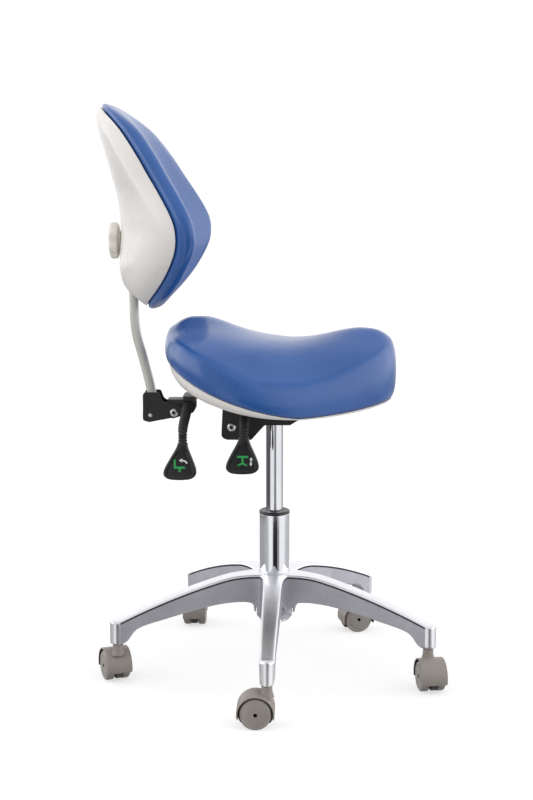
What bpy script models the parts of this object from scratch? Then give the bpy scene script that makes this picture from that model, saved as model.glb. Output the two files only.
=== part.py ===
"""Dentist stool: a saddle seat with a small wrap-round backrest, on a gas lift and a five-leg cast base with twin-wheel castors.

Units are metres in the scene and millimetres in the constants below. +X is the way the sitter faces, +Y is the sitter's left
and +Z is up. The floor is z = 0, and the origin is the centre of the stool's footprint box. The gas lift stands at
COLUMN_X, COLUMN_Y. Most shapes are first described relative to the lift's axis.
"""

import math

import bmesh
import bpy
from mathutils import Matrix, Vector

# ---------------------------------------------------------------- driving dimensions, mm
COLUMN_X, COLUMN_Y = 5.76, 11.71  # lift axis in the stool's own frame
GAP = 0.3  # clearance between touching pieces

# star base
LEG_COUNT = 5
LEG_TURN = -1.06  # degrees, leg 0 from -Y
STEM_RADIUS = 267.5  # lift axis to castor stem
HUB_BOTTOM, HUB_TOP, HUB_R = 91.0, 170.0, 30.0
LEG_TOP_Z, LEG_DROP, LEG_POWER = 176.5, 70.5, 1.6
BOSS_BOTTOM = 66.5

# castors
WHEEL_R, WHEEL_IN, WHEEL_OUT = 24.5, 6.5, 20.5
TRAIL = 17.0
HOOD_R, HOOD_WALL, HOOD_HALF, WEB_HALF = 29.2, 2.2, 21.0, 6.0
NECK_R, NECK_TOP = 8.5, 64.4
CASTOR_TURNS = (180.0, 281.0, 195.0, 90.0, 114.0)  # degrees from +X, the way each wheel trails

# gas lift
TUBE_R, TUBE_IN, TUBE_BOTTOM, TUBE_TOP = 25.0, 23.2, 86.0, 269.0
CYL_R, CYL_BOTTOM, CYL_TOP = 14.0, 238.0, 452.0
ROD_R, PISTON_R = 5.0, 11.1
PIN_R, PIN_TOP = 3.0, 457.2

# mechanism and seat supports
HOUSING_HALF, HOUSING_BOTTOM, HOUSING_TOP, SHEET = 45.0, 425.0, 465.0, 3.0
PLATE_BOTTOM, PLATE_TOP = 465.3, 468.8
BOARD_BOTTOM, BOARD_TOP = 469.1, 481.1
EAR_BOLT = (-69.0, 422.0)
BACK_PIVOT = (-165.0, 441.0)

# seat
SEAT_MID_X, SEAT_HALF_X = 11.0, 188.0
SEAT_UNDER = 486.8  # underside of the foam over the board

# backrest
WRAP_R = 235.0
PAD = 42.0
KNOB_Z, KNOB_R = 722.0, 30.0
ARM_LEAN = -0.028  # dx / dz of the straight upper part

# ---------------------------------------------------------------- scene and materials
for old in list(bpy.data.objects):
    bpy.data.objects.remove(old, do_unlink=True)
SCENE = bpy.context.scene.collection


def material(name, colour, roughness, metallic=0.0):
    made = bpy.data.materials.new(name)
    made.use_nodes = True
    shader = made.node_tree.nodes["Principled BSDF"]
    shader.inputs["Base Color"].default_value = (*colour, 1.0)
    shader.inputs["Roughness"].default_value = roughness
    shader.inputs["Metallic"].default_value = metallic
    made.diffuse_color = (*colour, 1.0)
    return made


ALU = material("cast_aluminium", (0.72, 0.72, 0.75), 0.28, 1.0)
CHROME = material("chrome", (0.78, 0.79, 0.82), 0.06, 1.0)
STEEL = material("zinc_steel", (0.62, 0.62, 0.62), 0.3, 1.0)
GREY = material("castor_grey", (0.33, 0.30, 0.27), 0.45)
TREAD = material("castor_tread", (0.30, 0.27, 0.25), 0.6)
BLACK = material("black_steel", (0.02, 0.02, 0.022), 0.45)
BLACK_PLASTIC = material("black_plastic", (0.015, 0.015, 0.017), 0.35)
RUBBER = material("black_rubber", (0.012, 0.012, 0.012), 0.65)
IVORY = material("ivory_plastic", (0.78, 0.74, 0.68), 0.35)
ARM_PAINT = material("ivory_paint", (0.68, 0.67, 0.60), 0.25)
BEIGE = material("beige_plastic", (0.55, 0.50, 0.42), 0.45)
BLUE = material("blue_leather", (0.055, 0.13, 0.42), 0.3)
PLY = material("plywood", (0.55, 0.38, 0.21), 0.6)

# ---------------------------------------------------------------- mesh helpers, all in mm


def mesh_of(points, faces):
    mesh = bpy.data.meshes.new("shape")
    mesh.from_pydata([(x / 1000, y / 1000, z / 1000) for x, y, z in points], [], faces)
    shape = bmesh.new()
    shape.from_mesh(mesh)
    bmesh.ops.remove_doubles(shape, verts=shape.verts, dist=1e-6)
    bmesh.ops.recalc_face_normals(shape, faces=shape.faces)
    shape.to_mesh(mesh)
    shape.free()
    return mesh


def turned(profile, count, phase=0.0, axis="Z"):
    """A closed solid of revolution. The (r, h) profile starts and ends on the axis, or is the closed outline of a ring."""
    closed = profile[0][0] > 0
    points, rows = [], []
    for r, h in profile:
        if r == 0:
            rows.append([len(points)])
            points.append((0.0, 0.0, h))
            continue
        rows.append(list(range(len(points), len(points) + count)))
        for i in range(count):
            a = phase + 2 * math.pi * i / count
            points.append((r * math.cos(a), r * math.sin(a), h))
    faces = []
    pairs = list(zip(rows, rows[1:])) + ([(rows[-1], rows[0])] if closed else [])
    for a, b in pairs:
        for i in range(count):
            j = (i + 1) % count
            if len(a) == 1:
                faces.append((a[0], b[i], b[j]))
            elif len(b) == 1:
                faces.append((a[i], a[j], b[0]))
            else:
                faces.append((a[i], a[j], b[j], b[i]))
    if axis == "Y":
        points = [(x, z, -y) for x, y, z in points]
    if axis == "X":
        points = [(z, x, y) for x, y, z in points]
    return mesh_of(points, faces)


def loft(rings, closed=False):
    """Rings of equal length joined in order, with an end face on the first and last, or joined back to the first."""
    n = len(rings[0])
    points = [p for ring in rings for p in ring]
    faces = []
    last = len(rings) if closed else len(rings) - 1
    for k in range(last):
        a, b = k * n, ((k + 1) % len(rings)) * n
        for i in range(n):
            j = (i + 1) % n
            faces.append((a + i, a + j, b + j, b + i))
    if not closed:
        faces.append(tuple(range(n)))
        faces.append(tuple(range((len(rings) - 1) * n, len(rings) * n)))
    return mesh_of(points, faces)


def plate(outline, low, high, axis="Z"):
    """A flat outline carried from low to high along an axis. The outline is (x, y), (x, z) or (y, z)."""
    place = {"Z": lambda a, b, h: (a, b, h), "Y": lambda a, b, h: (a, h, b), "X": lambda a, b, h: (h, a, b)}[axis]
    return loft([[place(a, b, h) for a, b in outline] for h in (low, high)])


def box(x0, x1, y0, y1, z0, z1):
    return plate([(x0, y0), (x1, y0), (x1, y1), (x0, y1)], z0, z1)


def rounded(corners, radius, steps=4):
    """An outline with its corners rounded. radius is one number, or one for each corner."""
    out = []
    n = len(corners)
    radii = [radius] * n if isinstance(radius, (int, float)) else radius
    for i, r in enumerate(radii):
        p, q, s = (Vector(corners[(i + k - 1) % n]) for k in range(3))
        u, v = (p - q).normalized(), (s - q).normalized()
        if r <= 0:
            out.append(tuple(q))
            continue
        half = u.angle(v) / 2
        reach = r / math.tan(half)
        centre = q + (u + v).normalized() * (r / math.sin(half))
        a, b = q + u * reach - centre, q + v * reach - centre
        turn = a.angle_signed(b)
        for k in range(steps + 1):
            t = -turn * k / steps
            out.append((centre.x + a.x * math.cos(t) - a.y * math.sin(t), centre.y + a.x * math.sin(t) + a.y * math.cos(t)))
    return out


def measured(mesh):
    """The volume in mm3 of a mesh whose every edge has exactly two faces, and None for any other mesh."""
    shape = bmesh.new()
    shape.from_mesh(mesh)
    good = len(shape.faces) > 0 and all(len(edge.link_faces) == 2 for edge in shape.edges)
    volume = shape.calc_volume(signed=True) * 1e9 if good else None
    shape.free()
    return volume


def combined(first, second, how):
    """The first mesh joined to, or cut by, the second. The exact solver comes first, and the manifold one where its result has a fault."""
    result = None
    one, two = measured(first), measured(second)
    for solver in ("EXACT", "MANIFOLD"):
        a, b = bpy.data.objects.new("a", first), bpy.data.objects.new("b", second)
        SCENE.objects.link(a)
        SCENE.objects.link(b)
        modifier = a.modifiers.new("cut", "BOOLEAN")
        modifier.operation, modifier.solver, modifier.object = how, solver, b
        bpy.context.view_layer.update()
        result = bpy.data.meshes.new_from_object(a.evaluated_get(bpy.context.evaluated_depsgraph_get()))
        bpy.data.objects.remove(a, do_unlink=True)
        bpy.data.objects.remove(b, do_unlink=True)
        volume = measured(result)
        if volume is None or one is None or two is None:
            continue
        if how == "UNION" and max(one, two) - 1 <= volume <= one + two + 1:
            break
        if how == "DIFFERENCE" and one - two - 1 <= volume <= one + 1:
            break
    return result


def joined(first, *others):
    for other in others:
        first = combined(first, other, "UNION")
    return first


def cut(first, *others):
    for other in others:
        first = combined(first, other, "DIFFERENCE")
    return first


def moved(mesh, x=0.0, y=0.0, z=0.0, turn=0.0, tilt=0.0, axis="Z"):
    mesh.transform(
        Matrix.Translation((x / 1000, y / 1000, z / 1000))
        @ Matrix.Rotation(math.radians(turn), 4, "Z")
        @ Matrix.Rotation(math.radians(tilt), 4, "X" if axis == "Z" else axis)
    )
    return mesh


def sweep(path, ring, side):
    """A ring of (u, v) carried along a path that stays in the plane across side. v runs along side."""
    rings = []
    side = Vector(side).normalized()
    for k, p in enumerate(path):
        before, after = Vector(path[max(k - 1, 0)]), Vector(path[min(k + 1, len(path) - 1)])
        along = (after - before).normalized()
        up = side.cross(along).normalized()
        rings.append([tuple(Vector(p) + up * u + side * v) for u, v in ring])
    return rings


def smooth_path(points, count):
    """Points evenly spread by knot on a Catmull-Rom curve through the given points."""
    out = []
    knots = [Vector(p) for p in points]
    knots = [knots[0] * 2 - knots[1]] + knots + [knots[-1] * 2 - knots[-2]]
    spans = len(points) - 1
    for k in range(count + 1):
        t = min(spans * k / count, spans - 1e-9)
        i = int(t)
        t -= i
        a, b, c, d = knots[i : i + 4]
        out.append(tuple(0.5 * (2 * b + (c - a) * t + (2 * a - 5 * b + 4 * c - d) * t * t + (3 * b - a - 3 * c + d) * t**3)))
    return out


def circle(r, count, phase=0.0):
    return [(r * math.cos(phase + 2 * math.pi * i / count), r * math.sin(phase + 2 * math.pi * i / count)) for i in range(count)]


def between(table, x):
    """A smooth value read from a table of (x, value) in rising x."""
    if x <= table[0][0]:
        return table[0][1]
    if x >= table[-1][0]:
        return table[-1][1]
    for (x0, v0), (x1, v1) in zip(table, table[1:]):
        if x <= x1:
            t = (x - x0) / (x1 - x0)
            return v0 + (v1 - v0) * t


def put(name, mesh, shade, at=(0.0, 0.0, 0.0), turn=0.0, parent=None, sharp=35.0, world=False):
    """An object whose origin is at a point given from the lift's axis. world says the mesh is already given from the lift's axis."""
    if world:
        mesh.transform(Matrix.Translation((-at[0] / 1000, -at[1] / 1000, -at[2] / 1000)))
    mesh.name = name
    made = bpy.data.objects.new(name, mesh)
    SCENE.objects.link(made)
    mesh.materials.clear()
    mesh.materials.append(shade)
    mesh.shade_smooth()
    mesh.set_sharp_from_angle(angle=math.radians(sharp))
    made.location = ((at[0] + COLUMN_X) / 1000, (at[1] + COLUMN_Y) / 1000, at[2] / 1000)
    made.rotation_euler = (0.0, 0.0, math.radians(turn))
    if parent:
        made.parent = parent
        made.location = Vector(made.location) - parent.location
    return made


def pivot(name, at):
    made = bpy.data.objects.new(name, None)
    SCENE.objects.link(made)
    made.empty_display_size = 0.02
    made.location = ((at[0] + COLUMN_X) / 1000, (at[1] + COLUMN_Y) / 1000, at[2] / 1000)
    return made


# ---------------------------------------------------------------- star base


def leg_top(r):
    return min(169.4 - 0.02 * r, LEG_TOP_Z - LEG_DROP * (min(r, 268.0) / 263.0) ** LEG_POWER)


LEG_HALF = [(20, 27.0), (34, 21.5), (46, 18.0), (62, 16.0), (86, 15.0), (150, 14.0), (190, 13.0), (225, 12.2), (282, 11.0)]
LEG_FOOT = [(20, 100.0), (34, 110.0), (42, 117.5), (52, 121.5), (68, 123.0), (86, 122.5), (117, 119.0), (150, 112.5), (190, 103.0), (225, 94.5), (240, 87.5), (250, 76.0)]


def leg_blank():
    """The leg's outside, running out along +X from within the hub: a crowned top and two side walls with a little draft."""
    rings = []
    for r in (6, 30, 50, 86, 132, 182, 228, 250):
        w, top, foot = between(LEG_HALF, r), leg_top(r), between(LEG_FOOT, r)
        rings.append([(r, y, z) for y, z in ((-w, foot), (-w + 0.6, top - 3.0), (-w + 3.4, top), (w - 3.4, top), (w - 0.6, top - 3.0), (w, foot))])
    return loft(rings)


def leg_hollow():
    """The channel under the leg, which opens downwards."""
    rings = []
    for r in (47, 86, 132, 182, 228, 244):
        w, top, foot = between(LEG_HALF, r) - 3.6, leg_top(r) - 5.0, between(LEG_FOOT, r) - 6.0
        rings.append([(r, y, z) for y, z in ((-w, foot), (-w + 0.6, top), (w - 0.6, top), (w, foot))])
    return loft(rings)


def leg_end():
    """The solid tip of the leg, which drops to the castor socket."""
    rings = []
    for r, foot, low, high in ((243, 84.0, 9.5, 11.9), (252, 70.0, 9.3, 11.8), (262, BOSS_BOTTOM, 9.0, 11.5), (274, BOSS_BOTTOM, 8.4, 10.9), (280.5, 70.0, 6.4, 8.8)):
        top = leg_top(r)
        dip = 0.0 if r < 278 else (r - 278) * 1.2
        rings.append([(r, y, z) for y, z in (
            (-low, foot), (-high + 0.6, top - 3.0 - dip), (-high + 3.4, top - dip),
            (high - 3.4, top - dip), (high - 0.6, top - 3.0 - dip), (low, foot))])
    return loft(rings)


base = turned([(0, HUB_BOTTOM), (HUB_R, HUB_BOTTOM), (HUB_R + 0.7, 106), (HUB_R + 6.0, 116), (HUB_R + 6.0, 166.9), (HUB_R + 2.0, 169.1), (28.0, HUB_TOP), (0, HUB_TOP)], 24, math.pi / 24)
for k in range(LEG_COUNT):
    base = joined(base, moved(leg_blank(), turn=-90.0 + LEG_TURN + 72.0 * k))
for k in range(LEG_COUNT):
    base = joined(cut(base, moved(leg_hollow(), turn=-90.0 + LEG_TURN + 72.0 * k)), moved(leg_end(), turn=-90.0 + LEG_TURN + 72.0 * k))
cuts = [turned([(0, 60), (TUBE_R + 0.5, 60), (TUBE_R + 0.5, 190), (0, 190)], 24, math.pi / 24)]
STEMS = []
for k in range(LEG_COUNT):
    a = math.radians(-90.0 + LEG_TURN + 72.0 * k)
    STEMS.append((STEM_RADIUS * math.cos(a), STEM_RADIUS * math.sin(a)))
    cuts.append(moved(turned([(0, 55), (6.1, 55), (6.1, 91.5), (0, 91.5)], 12), *STEMS[k]))
put("star_base", cut(base, *cuts), ALU, world=True, sharp=28)

# ---------------------------------------------------------------- castors
WHEEL_SIDES = 14
wheel_grow = 1 / math.cos(math.pi / WHEEL_SIDES)
wheel_profile = [(0, WHEEL_OUT), (22.6 * wheel_grow, WHEEL_OUT), (WHEEL_R * wheel_grow, 18.6), (WHEEL_R * wheel_grow, WHEEL_IN), (3.1, WHEEL_IN), (3.1, 17.6), (0, 17.6)]
left_wheel = turned(wheel_profile, WHEEL_SIDES, 0.0, "Y")
right_wheel = turned([(r, -h) for r, h in wheel_profile], WHEEL_SIDES, 0.0, "Y")


def hood_mesh():
    """Twin-wheel hood, its swivel axis at x = 0 and its axle at x = TRAIL: a drum over the wheels, a web between them and a neck."""
    def drum(r, y0, y1, n=18):
        return moved(turned([(0, y0), (r, y0), (r, y1), (0, y1)], n, math.pi / n, "Y"), TRAIL, 0, WHEEL_R)
    body = moved(turned([(0, -HOOD_HALF), (HOOD_R, -HOOD_HALF), (HOOD_R, HOOD_HALF), (0, HOOD_HALF)], 18, math.pi / 18, "Y"), TRAIL, 0, WHEEL_R)
    neck = turned([(0, 44.5), (NECK_R + 1.6, 44.5), (NECK_R, 53.0), (NECK_R, NECK_TOP), (0, NECK_TOP)], 12)
    body = joined(body, neck)
    inner = HOOD_R - HOOD_WALL
    body = cut(body, drum(inner, WEB_HALF, 40), drum(inner, -40, -WEB_HALF))
    body = cut(body, box(-40, 80, -60, 60, -20, 7.0), box(-40, 80, WEB_HALF + 1.3, 60, -21, 16.2), box(-40, 80, -60, -WEB_HALF - 1.3, -21, 16.2))
    stem_bore = turned([(0, 33), (4.4, 33), (4.4, 80), (0, 80)], 10)
    axle_bore = moved(turned([(0, -30), (3.1, -30), (3.1, 30), (0, 30)], 8, math.pi / 8, "Y"), TRAIL, 0, WHEEL_R)
    return cut(body, stem_bore, axle_bore)


hood = hood_mesh()
stem = turned([(0, 34.0), (3.9, 34.0), (3.9, 64.9), (7.2, 64.9), (7.2, 66.1), (5.6, 66.1), (5.6, 90.6), (0, 90.6)], 10)
axle = turned([(0, -17.2), (2.5, -17.2), (2.5, 17.2), (0, 17.2)], 8, math.pi / 8, "Y")
for k in range(LEG_COUNT):
    n = k + 1
    swivel = pivot(f"castor_swivel_{n}", (*STEMS[k], 0.0))
    swivel.rotation_euler = (0.0, 0.0, math.radians(CASTOR_TURNS[k]))
    put(f"castor_stem_{n}", stem.copy(), STEEL, at=(*STEMS[k], 0.0))
    for name, mesh, shade, local in (
        (f"castor_hood_{n}", hood.copy(), GREY, (0.0, 0.0, 0.0)),
        (f"castor_axle_{n}", axle.copy(), STEEL, (TRAIL, 0.0, WHEEL_R)),
        (f"castor_wheel_{n}_left", left_wheel.copy(), TREAD, (TRAIL, 0.0, WHEEL_R)),
        (f"castor_wheel_{n}_right", right_wheel.copy(), TREAD, (TRAIL, 0.0, WHEEL_R)),
    ):
        made = put(name, mesh, shade)
        made.parent = swivel
        made.location = tuple(v / 1000 for v in local)

# ---------------------------------------------------------------- gas lift
put("lift_outer_tube", turned([(TUBE_R, TUBE_TOP), (TUBE_R, TUBE_BOTTOM), (5.6, TUBE_BOTTOM), (5.6, TUBE_BOTTOM + 3.5), (TUBE_IN, TUBE_BOTTOM + 3.5), (TUBE_IN, TUBE_TOP)], 24, math.pi / 24), CHROME)
put("lift_guide_bush", turned([(14.5, 205), (22.85, 205), (22.85, TUBE_TOP + 0.3), (25.4, TUBE_TOP + 0.3), (25.4, TUBE_TOP + 3.6), (24.0, TUBE_TOP + 5.0), (14.5, TUBE_TOP + 5.0)], 24, math.pi / 24), BLACK_PLASTIC)
lift_turn = pivot("lift_swivel", (0.0, 0.0, TUBE_BOTTOM))
put("lift_piston_rod", turned([(0, 81.0), (ROD_R, 81.0), (ROD_R, 82.8), (4.1, 82.8), (4.1, 85.7), (ROD_R, 85.7), (ROD_R, 96.2), (8.2, 96.2), (8.2, 101.0), (ROD_R, 101.0), (ROD_R, 250.0), (PISTON_R, 250.0), (PISTON_R, 262.0), (0, 262.0)], 12), STEEL, parent=lift_turn, world=True, at=(0, 0, TUBE_BOTTOM))
put("lift_thrust_bearing", turned([(5.6, 89.9), (11.0, 89.9), (11.0, 95.8), (5.6, 95.8)], 14), STEEL, parent=lift_turn, world=True, at=(0, 0, TUBE_BOTTOM))
clip_outline = [(9.0 * math.cos(math.radians(a)), 9.0 * math.sin(math.radians(a))) for a in range(40, 321, 40)] + [(4.45 * math.cos(math.radians(a)), 4.45 * math.sin(math.radians(a))) for a in range(320, 39, -40)]
put("lift_retaining_clip", plate(clip_outline, 83.4, 85.1), STEEL, parent=lift_turn, world=True, at=(0, 0, TUBE_BOTTOM))
put("lift_cylinder", cut(turned([(0, CYL_BOTTOM), (CYL_R, CYL_BOTTOM), (CYL_R, 426.0), (13.4, CYL_TOP), (0, CYL_TOP)], 24, math.pi / 24), turned([(0, 200), (11.6, 200), (11.6, 392), (0, 392)], 16), turned([(0, 414), (3.5, 414), (3.5, 480), (0, 480)], 10)), CHROME)
put("lift_release_pin", turned([(0, 421.0), (PIN_R, 421.0), (PIN_R, PIN_TOP), (0, PIN_TOP)], 10), STEEL, world=True, at=(0, 0, CYL_TOP))

# ---------------------------------------------------------------- mechanism under the seat
side = rounded([(-83, HOUSING_TOP), (-86, 404), (-76, 400.5), (-37, 400.5), (-15, HOUSING_BOTTOM), (26, HOUSING_BOTTOM), (44, 436), (62, 456), (62, HOUSING_TOP)], (0, 8, 4, 4, 6, 6, 4, 3, 0), 3)
housing = plate(side, HOUSING_HALF - SHEET, HOUSING_HALF, "Y")
housing = joined(
    housing,
    plate(side, -HOUSING_HALF, -HOUSING_HALF + SHEET, "Y"),
    box(-83.0, 26.0, -HOUSING_HALF + 1, HOUSING_HALF - 1, HOUSING_BOTTOM + 0.6, HOUSING_BOTTOM + 0.6 + SHEET),
    box(-83.5, -80.5, -HOUSING_HALF + 1, HOUSING_HALF - 1, HOUSING_BOTTOM + 0.6, HOUSING_TOP),
    plate([(26 - 2, HOUSING_BOTTOM + 0.6), (62 - 3, 456), (62 - 3, HOUSING_TOP), (62, HOUSING_TOP), (62, 454.5), (27, HOUSING_BOTTOM + 0.6)], -HOUSING_HALF + 1, HOUSING_HALF - 1, "Y"),
)
HEIGHT_PIVOT = (-46.0, -43.5, 455.5)
put("mechanism_housing", cut(
    housing,
    turned([(0, 400), (19.5, 400), (19.5, 440), (0, 440)], 20, math.pi / 20),
    moved(turned([(0, -70), (5.6, -70), (5.6, 70), (0, 70)], 10, 0, "Y"), EAR_BOLT[0], 0, EAR_BOLT[1] - 8 + 8),
    moved(turned([(0, -60), (4.6, -60), (4.6, -30), (0, -30)], 10, 0, "Y"), HEIGHT_PIVOT[0], 0, HEIGHT_PIVOT[2]),
), BLACK, world=True, sharp=30)
put("lift_socket", turned([(14.55, 422.5), (21.5, 422.5), (21.5, 424.7), (19.0, 424.7), (19.0, 452.0), (14.3, 452.0)], 20, math.pi / 20), STEEL, world=True)
plate_outline = rounded([(-78, -70), (78, -70), (78, 70), (-78, 70), (-78, 30), (-150, 24), (-150, -24), (-78, -30)], (10, 10, 10, 10, 6, 6, 6, 6), 3)
screws = [(-64.0, -58.0), (64.0, -58.0), (64.0, 58.0), (-64.0, 58.0)]
put("seat_plate", cut(plate(plate_outline, PLATE_BOTTOM, PLATE_TOP), *[moved(turned([(0, 440), (3.5, 440), (3.5, 490), (0, 490)], 8), x, y) for x, y in screws]), BLACK, world=True)
bolt_x, bolt_z = EAR_BOLT
ear_bolt = cut(moved(turned([(0, -49.6), (6.2, -49.6), (8.4, -48.0), (8.4, -45.4), (4.9, -45.4), (4.9, 45.4), (8.4, 45.4), (8.4, 50.2), (0, 50.2)], 14, 0, "Y"), bolt_x, 0, bolt_z), moved(turned([(0, -55), (2.9, -55), (2.9, -47.2), (0, -47.2)], 6, 0, "Y"), bolt_x, 0, bolt_z))
put("mechanism_bolt", ear_bolt, STEEL, world=True, at=(bolt_x, 0, bolt_z))

# ---------------------------------------------------------------- levers


def paddle_mesh(x, y, top, lean):
    """A flat teardrop handle under a rod, its neck at (x, y, top). lean is how far the foot stands to one side."""
    half = [(0.0, 7.6), (-4.0, 8.2), (-10.0, 10.2), (-20.0, 15.2), (-32.0, 21.0), (-42.0, 25.2), (-48.0, 26.4), (-53.0, 25.6), (-57.0, 22.6), (-59.2, 17.0), (-60.0, 9.0)]
    rings = []
    for dz, w in half:
        t = 6.4 if dz > -6 else (6.4 - (-6 - dz) * 0.05 if dz > -50 else 4.2 - (-50 - dz) * 0.14)
        e = min(2.2, t * 0.5)
        cx = x + lean * (-dz / 60.0)
        rings.append([(cx + a, y + b, top + dz) for a, b in ((-w, -t + e), (-w + e, -t), (w - e, -t), (w, -t + e), (w, t - e), (w - e, t), (-w + e, t), (-w, t - e))])
    return loft(rings)


def lever(prefix, inner, outer_x, outer_y, wall_y, wall_z, foot, lean, pivot_at):
    """A bent rod from inside the mechanism, out through its wall, down to a paddle, with a ribbed sleeve over the outer stretch."""
    drop = [(outer_x, wall_y - 8, wall_z - 1.5), (outer_x, wall_y - 30, wall_z - 9), (outer_x, outer_y + 10, wall_z - 20), (outer_x, outer_y, foot + 8), (outer_x, outer_y - 1.0, foot - 14)]
    path = smooth_path([p for p in inner] + [(outer_x, wall_y, wall_z)] + drop, 3 * (len(inner) + 5))
    rod_rings = []
    normal = None
    ring = circle(3.1, 7)
    for k, p in enumerate(path):
        along = (Vector(path[min(k + 1, len(path) - 1)]) - Vector(path[max(k - 1, 0)])).normalized()
        if normal is None:
            normal = along.cross(Vector((0, 0, 1))).normalized()
        normal = (normal - along * normal.dot(along)).normalized()
        other = along.cross(normal)
        rod_rings.append([tuple(Vector(p) + normal * u + other * v) for u, v in ring])
    rod = loft(rod_rings)
    put(prefix + "_rod", rod, STEEL, world=True, at=pivot_at)
    # the sleeve: the stretch of the same path between just outside the wall and the paddle's neck
    stretch = [p for p in path if p[1] < wall_y - 9 and p[2] > foot + 0.8]
    end = Vector(stretch[-1])
    outer_rings, inner_rings = [], []
    frames = []
    for k, p in enumerate(stretch):
        along = (Vector(stretch[min(k + 1, len(stretch) - 1)]) - Vector(stretch[max(k - 1, 0)])).normalized()
        side_x = Vector((1, 0, 0))
        up = along.cross(side_x).normalized()
        frames.append((Vector(p), side_x, up))
    for k, (p, u, v) in enumerate(frames):
        r = 7.4 if k % 2 == 0 else 6.6
        outer_rings.append([tuple(p + u * a + v * b) for a, b in circle(r, 8)])
        inner_rings.append([tuple(p + u * a + v * b) for a, b in circle(3.9, 8)])
    sleeve = loft(outer_rings + inner_rings[::-1], closed=True)
    put(prefix + "_sleeve", sleeve, RUBBER, world=True, at=pivot_at)
    neck_y = outer_y - 0.4
    handle = paddle_mesh(outer_x, neck_y, min(foot, end.z - 0.6), lean)
    socket = moved(turned([(0, -17), (4.0, -17), (4.0, 6), (0, 6)], 8), outer_x, outer_y - 0.5, foot)
    put(prefix + "_paddle", cut(handle, socket), BLACK_PLASTIC, world=True, at=pivot_at)


lever("height_lever", [(2.5, 0.0, 460.9), (-12.0, -2.0, 460.9), (-32.0, -16.0, 460.2), (-45.0, -32.0, 457.6)], HEIGHT_PIVOT[0], -112.0, HEIGHT_PIVOT[1], HEIGHT_PIVOT[2], 418.0, -3.0, HEIGHT_PIVOT)

# ---------------------------------------------------------------- back support
bx, bz = BACK_PIVOT
LOCK_PIVOT = (-143.0, -21.5, 452.0)
mount_side = rounded([(-176, 462), (-176, 434), (-168, 430), (-134, 440), (-130, 446), (-130, 462)], (0, 5, 5, 4, 3, 0), 3)
mount = joined(
    plate(mount_side, 11.8, 14.8, "Y"),
    plate(mount_side, -14.8, -11.8, "Y"),
    box(-150.0, -130.0, -23.0, 23.0, 459.0, 465.0),
    box(-176.0, -130.0, -14.0, 14.0, 459.0, 462.0),
    box(-150.0, -134.0, -23.0, -20.0, 444.0, 462.0),
)
put("back_mount", cut(
    mount,
    moved(turned([(0, -40), (4.6, -40), (4.6, 40), (0, 40)], 10, 0, "Y"), bx, 0, bz),
    moved(turned([(0, -40), (4.6, -40), (4.6, -18), (0, -18)], 10, 0, "Y"), LOCK_PIVOT[0], 0, LOCK_PIVOT[2]),
), BLACK, world=True)
lever("back_lever", [(-143.0, -16.3, 452.0)], LOCK_PIVOT[0], -112.0, LOCK_PIVOT[1], LOCK_PIVOT[2], 408.0, -6.0, LOCK_PIVOT)
bracket_side = rounded([(-216, 474), (-217, 427), (-206, 424.5), (-157, 434), (-151.5, 440), (-153, 453), (-184, 458), (-190, 474)], (4, 6, 4, 6, 5, 7, 10, 4), 3)
bracket = joined(
    plate(bracket_side, 15.3, 18.3, "Y"),
    plate(bracket_side, -18.3, -15.3, "Y"),
    plate([(-216.8, 470), (-216.8, 427.5), (-214.0, 427.5), (-214.0, 470)], -16, 16, "Y"),
    plate([(-216, 428), (-206, 426), (-188, 429.4), (-188, 432.4), (-206, 429), (-216, 431)], -16, 16, "Y"),
)
tilt_pivot = pivot("backrest_tilt_axis", (bx, 0.0, bz))
put("back_bracket", cut(bracket, moved(turned([(0, -40), (4.6, -40), (4.6, 40), (0, 40)], 10, 0, "Y"), bx, 0, bz)), BLACK, world=True, at=(bx, 0, bz), parent=tilt_pivot)
put("back_pivot_bolt", cut(moved(turned([(0, -23.4), (5.2, -23.4), (7.0, -22.2), (7.0, -18.7), (4.0, -18.7), (4.0, 18.7), (7.0, 18.7), (7.0, 23.4), (0, 23.4)], 12, 0, "Y"), bx, 0, bz), moved(turned([(0, -30), (2.4, -30), (2.4, -21.2), (0, -21.2)], 6, 0, "Y"), bx, 0, bz)), STEEL, world=True, at=(bx, 0, bz))


def arm_x(z):
    """The arm's centre line over its straight upper part."""
    return -234.0 + ARM_LEAN * (z - 737.0)


arm_points = smooth_path([(-199.0, 0.0, 436.0), (-201.0, 0.0, 460.0), (-207.5, 0.0, 492.0), (-217.5, 0.0, 532.0), (-226.5, 0.0, 566.0), (arm_x(596), 0.0, 596.0)], 10) + [(arm_x(744.0), 0.0, 744.0)]
oval = [(7.4 * math.copysign(abs(math.cos(t)) ** 0.75, math.cos(t)), 14.8 * math.copysign(abs(math.sin(t)) ** 0.75, math.sin(t))) for t in (2 * math.pi * i / 14 for i in range(14))]
put("back_arm", loft(sweep(arm_points, oval, (0, 1, 0))), ARM_PAINT, world=True, at=(bx, 0, bz), parent=tilt_pivot, sharp=45)

# ---------------------------------------------------------------- seat: outline, top, underside
CREST = [(-178, 540), (-172, 566), (-165, 582), (-150, 593), (-134, 598), (-111, 597), (-85, 588), (-62, 578), (-32, 566), (-3, 560), (27, 557), (56, 560), (84, 566), (114, 574), (143, 578), (158, 577.5), (179, 572), (190, 560), (199, 540)]
DROOP = [(-178, 10), (-150, 30), (-100, 52), (0, 52), (100, 56), (160, 50), (199, 10)]


def seat_edge(angle):
    """(x, y) on the seat's outline."""
    c, s = math.cos(angle), math.sin(angle)
    return SEAT_MID_X + SEAT_HALF_X * c, math.copysign(abs(s) ** 0.8, s) * (176.0 - 58.0 * c)


def shell_low(x):
    return 451.0 + 0.00095 * (x - 55.0) ** 2


def skirt_low(x):
    """The cushion's lower edge, which climbs towards the back and the nose."""
    return shell_low(x) + 4.0 + (0.12 * (40.0 - x) if x < 40 else 0.05 * (x - 40.0))


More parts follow.
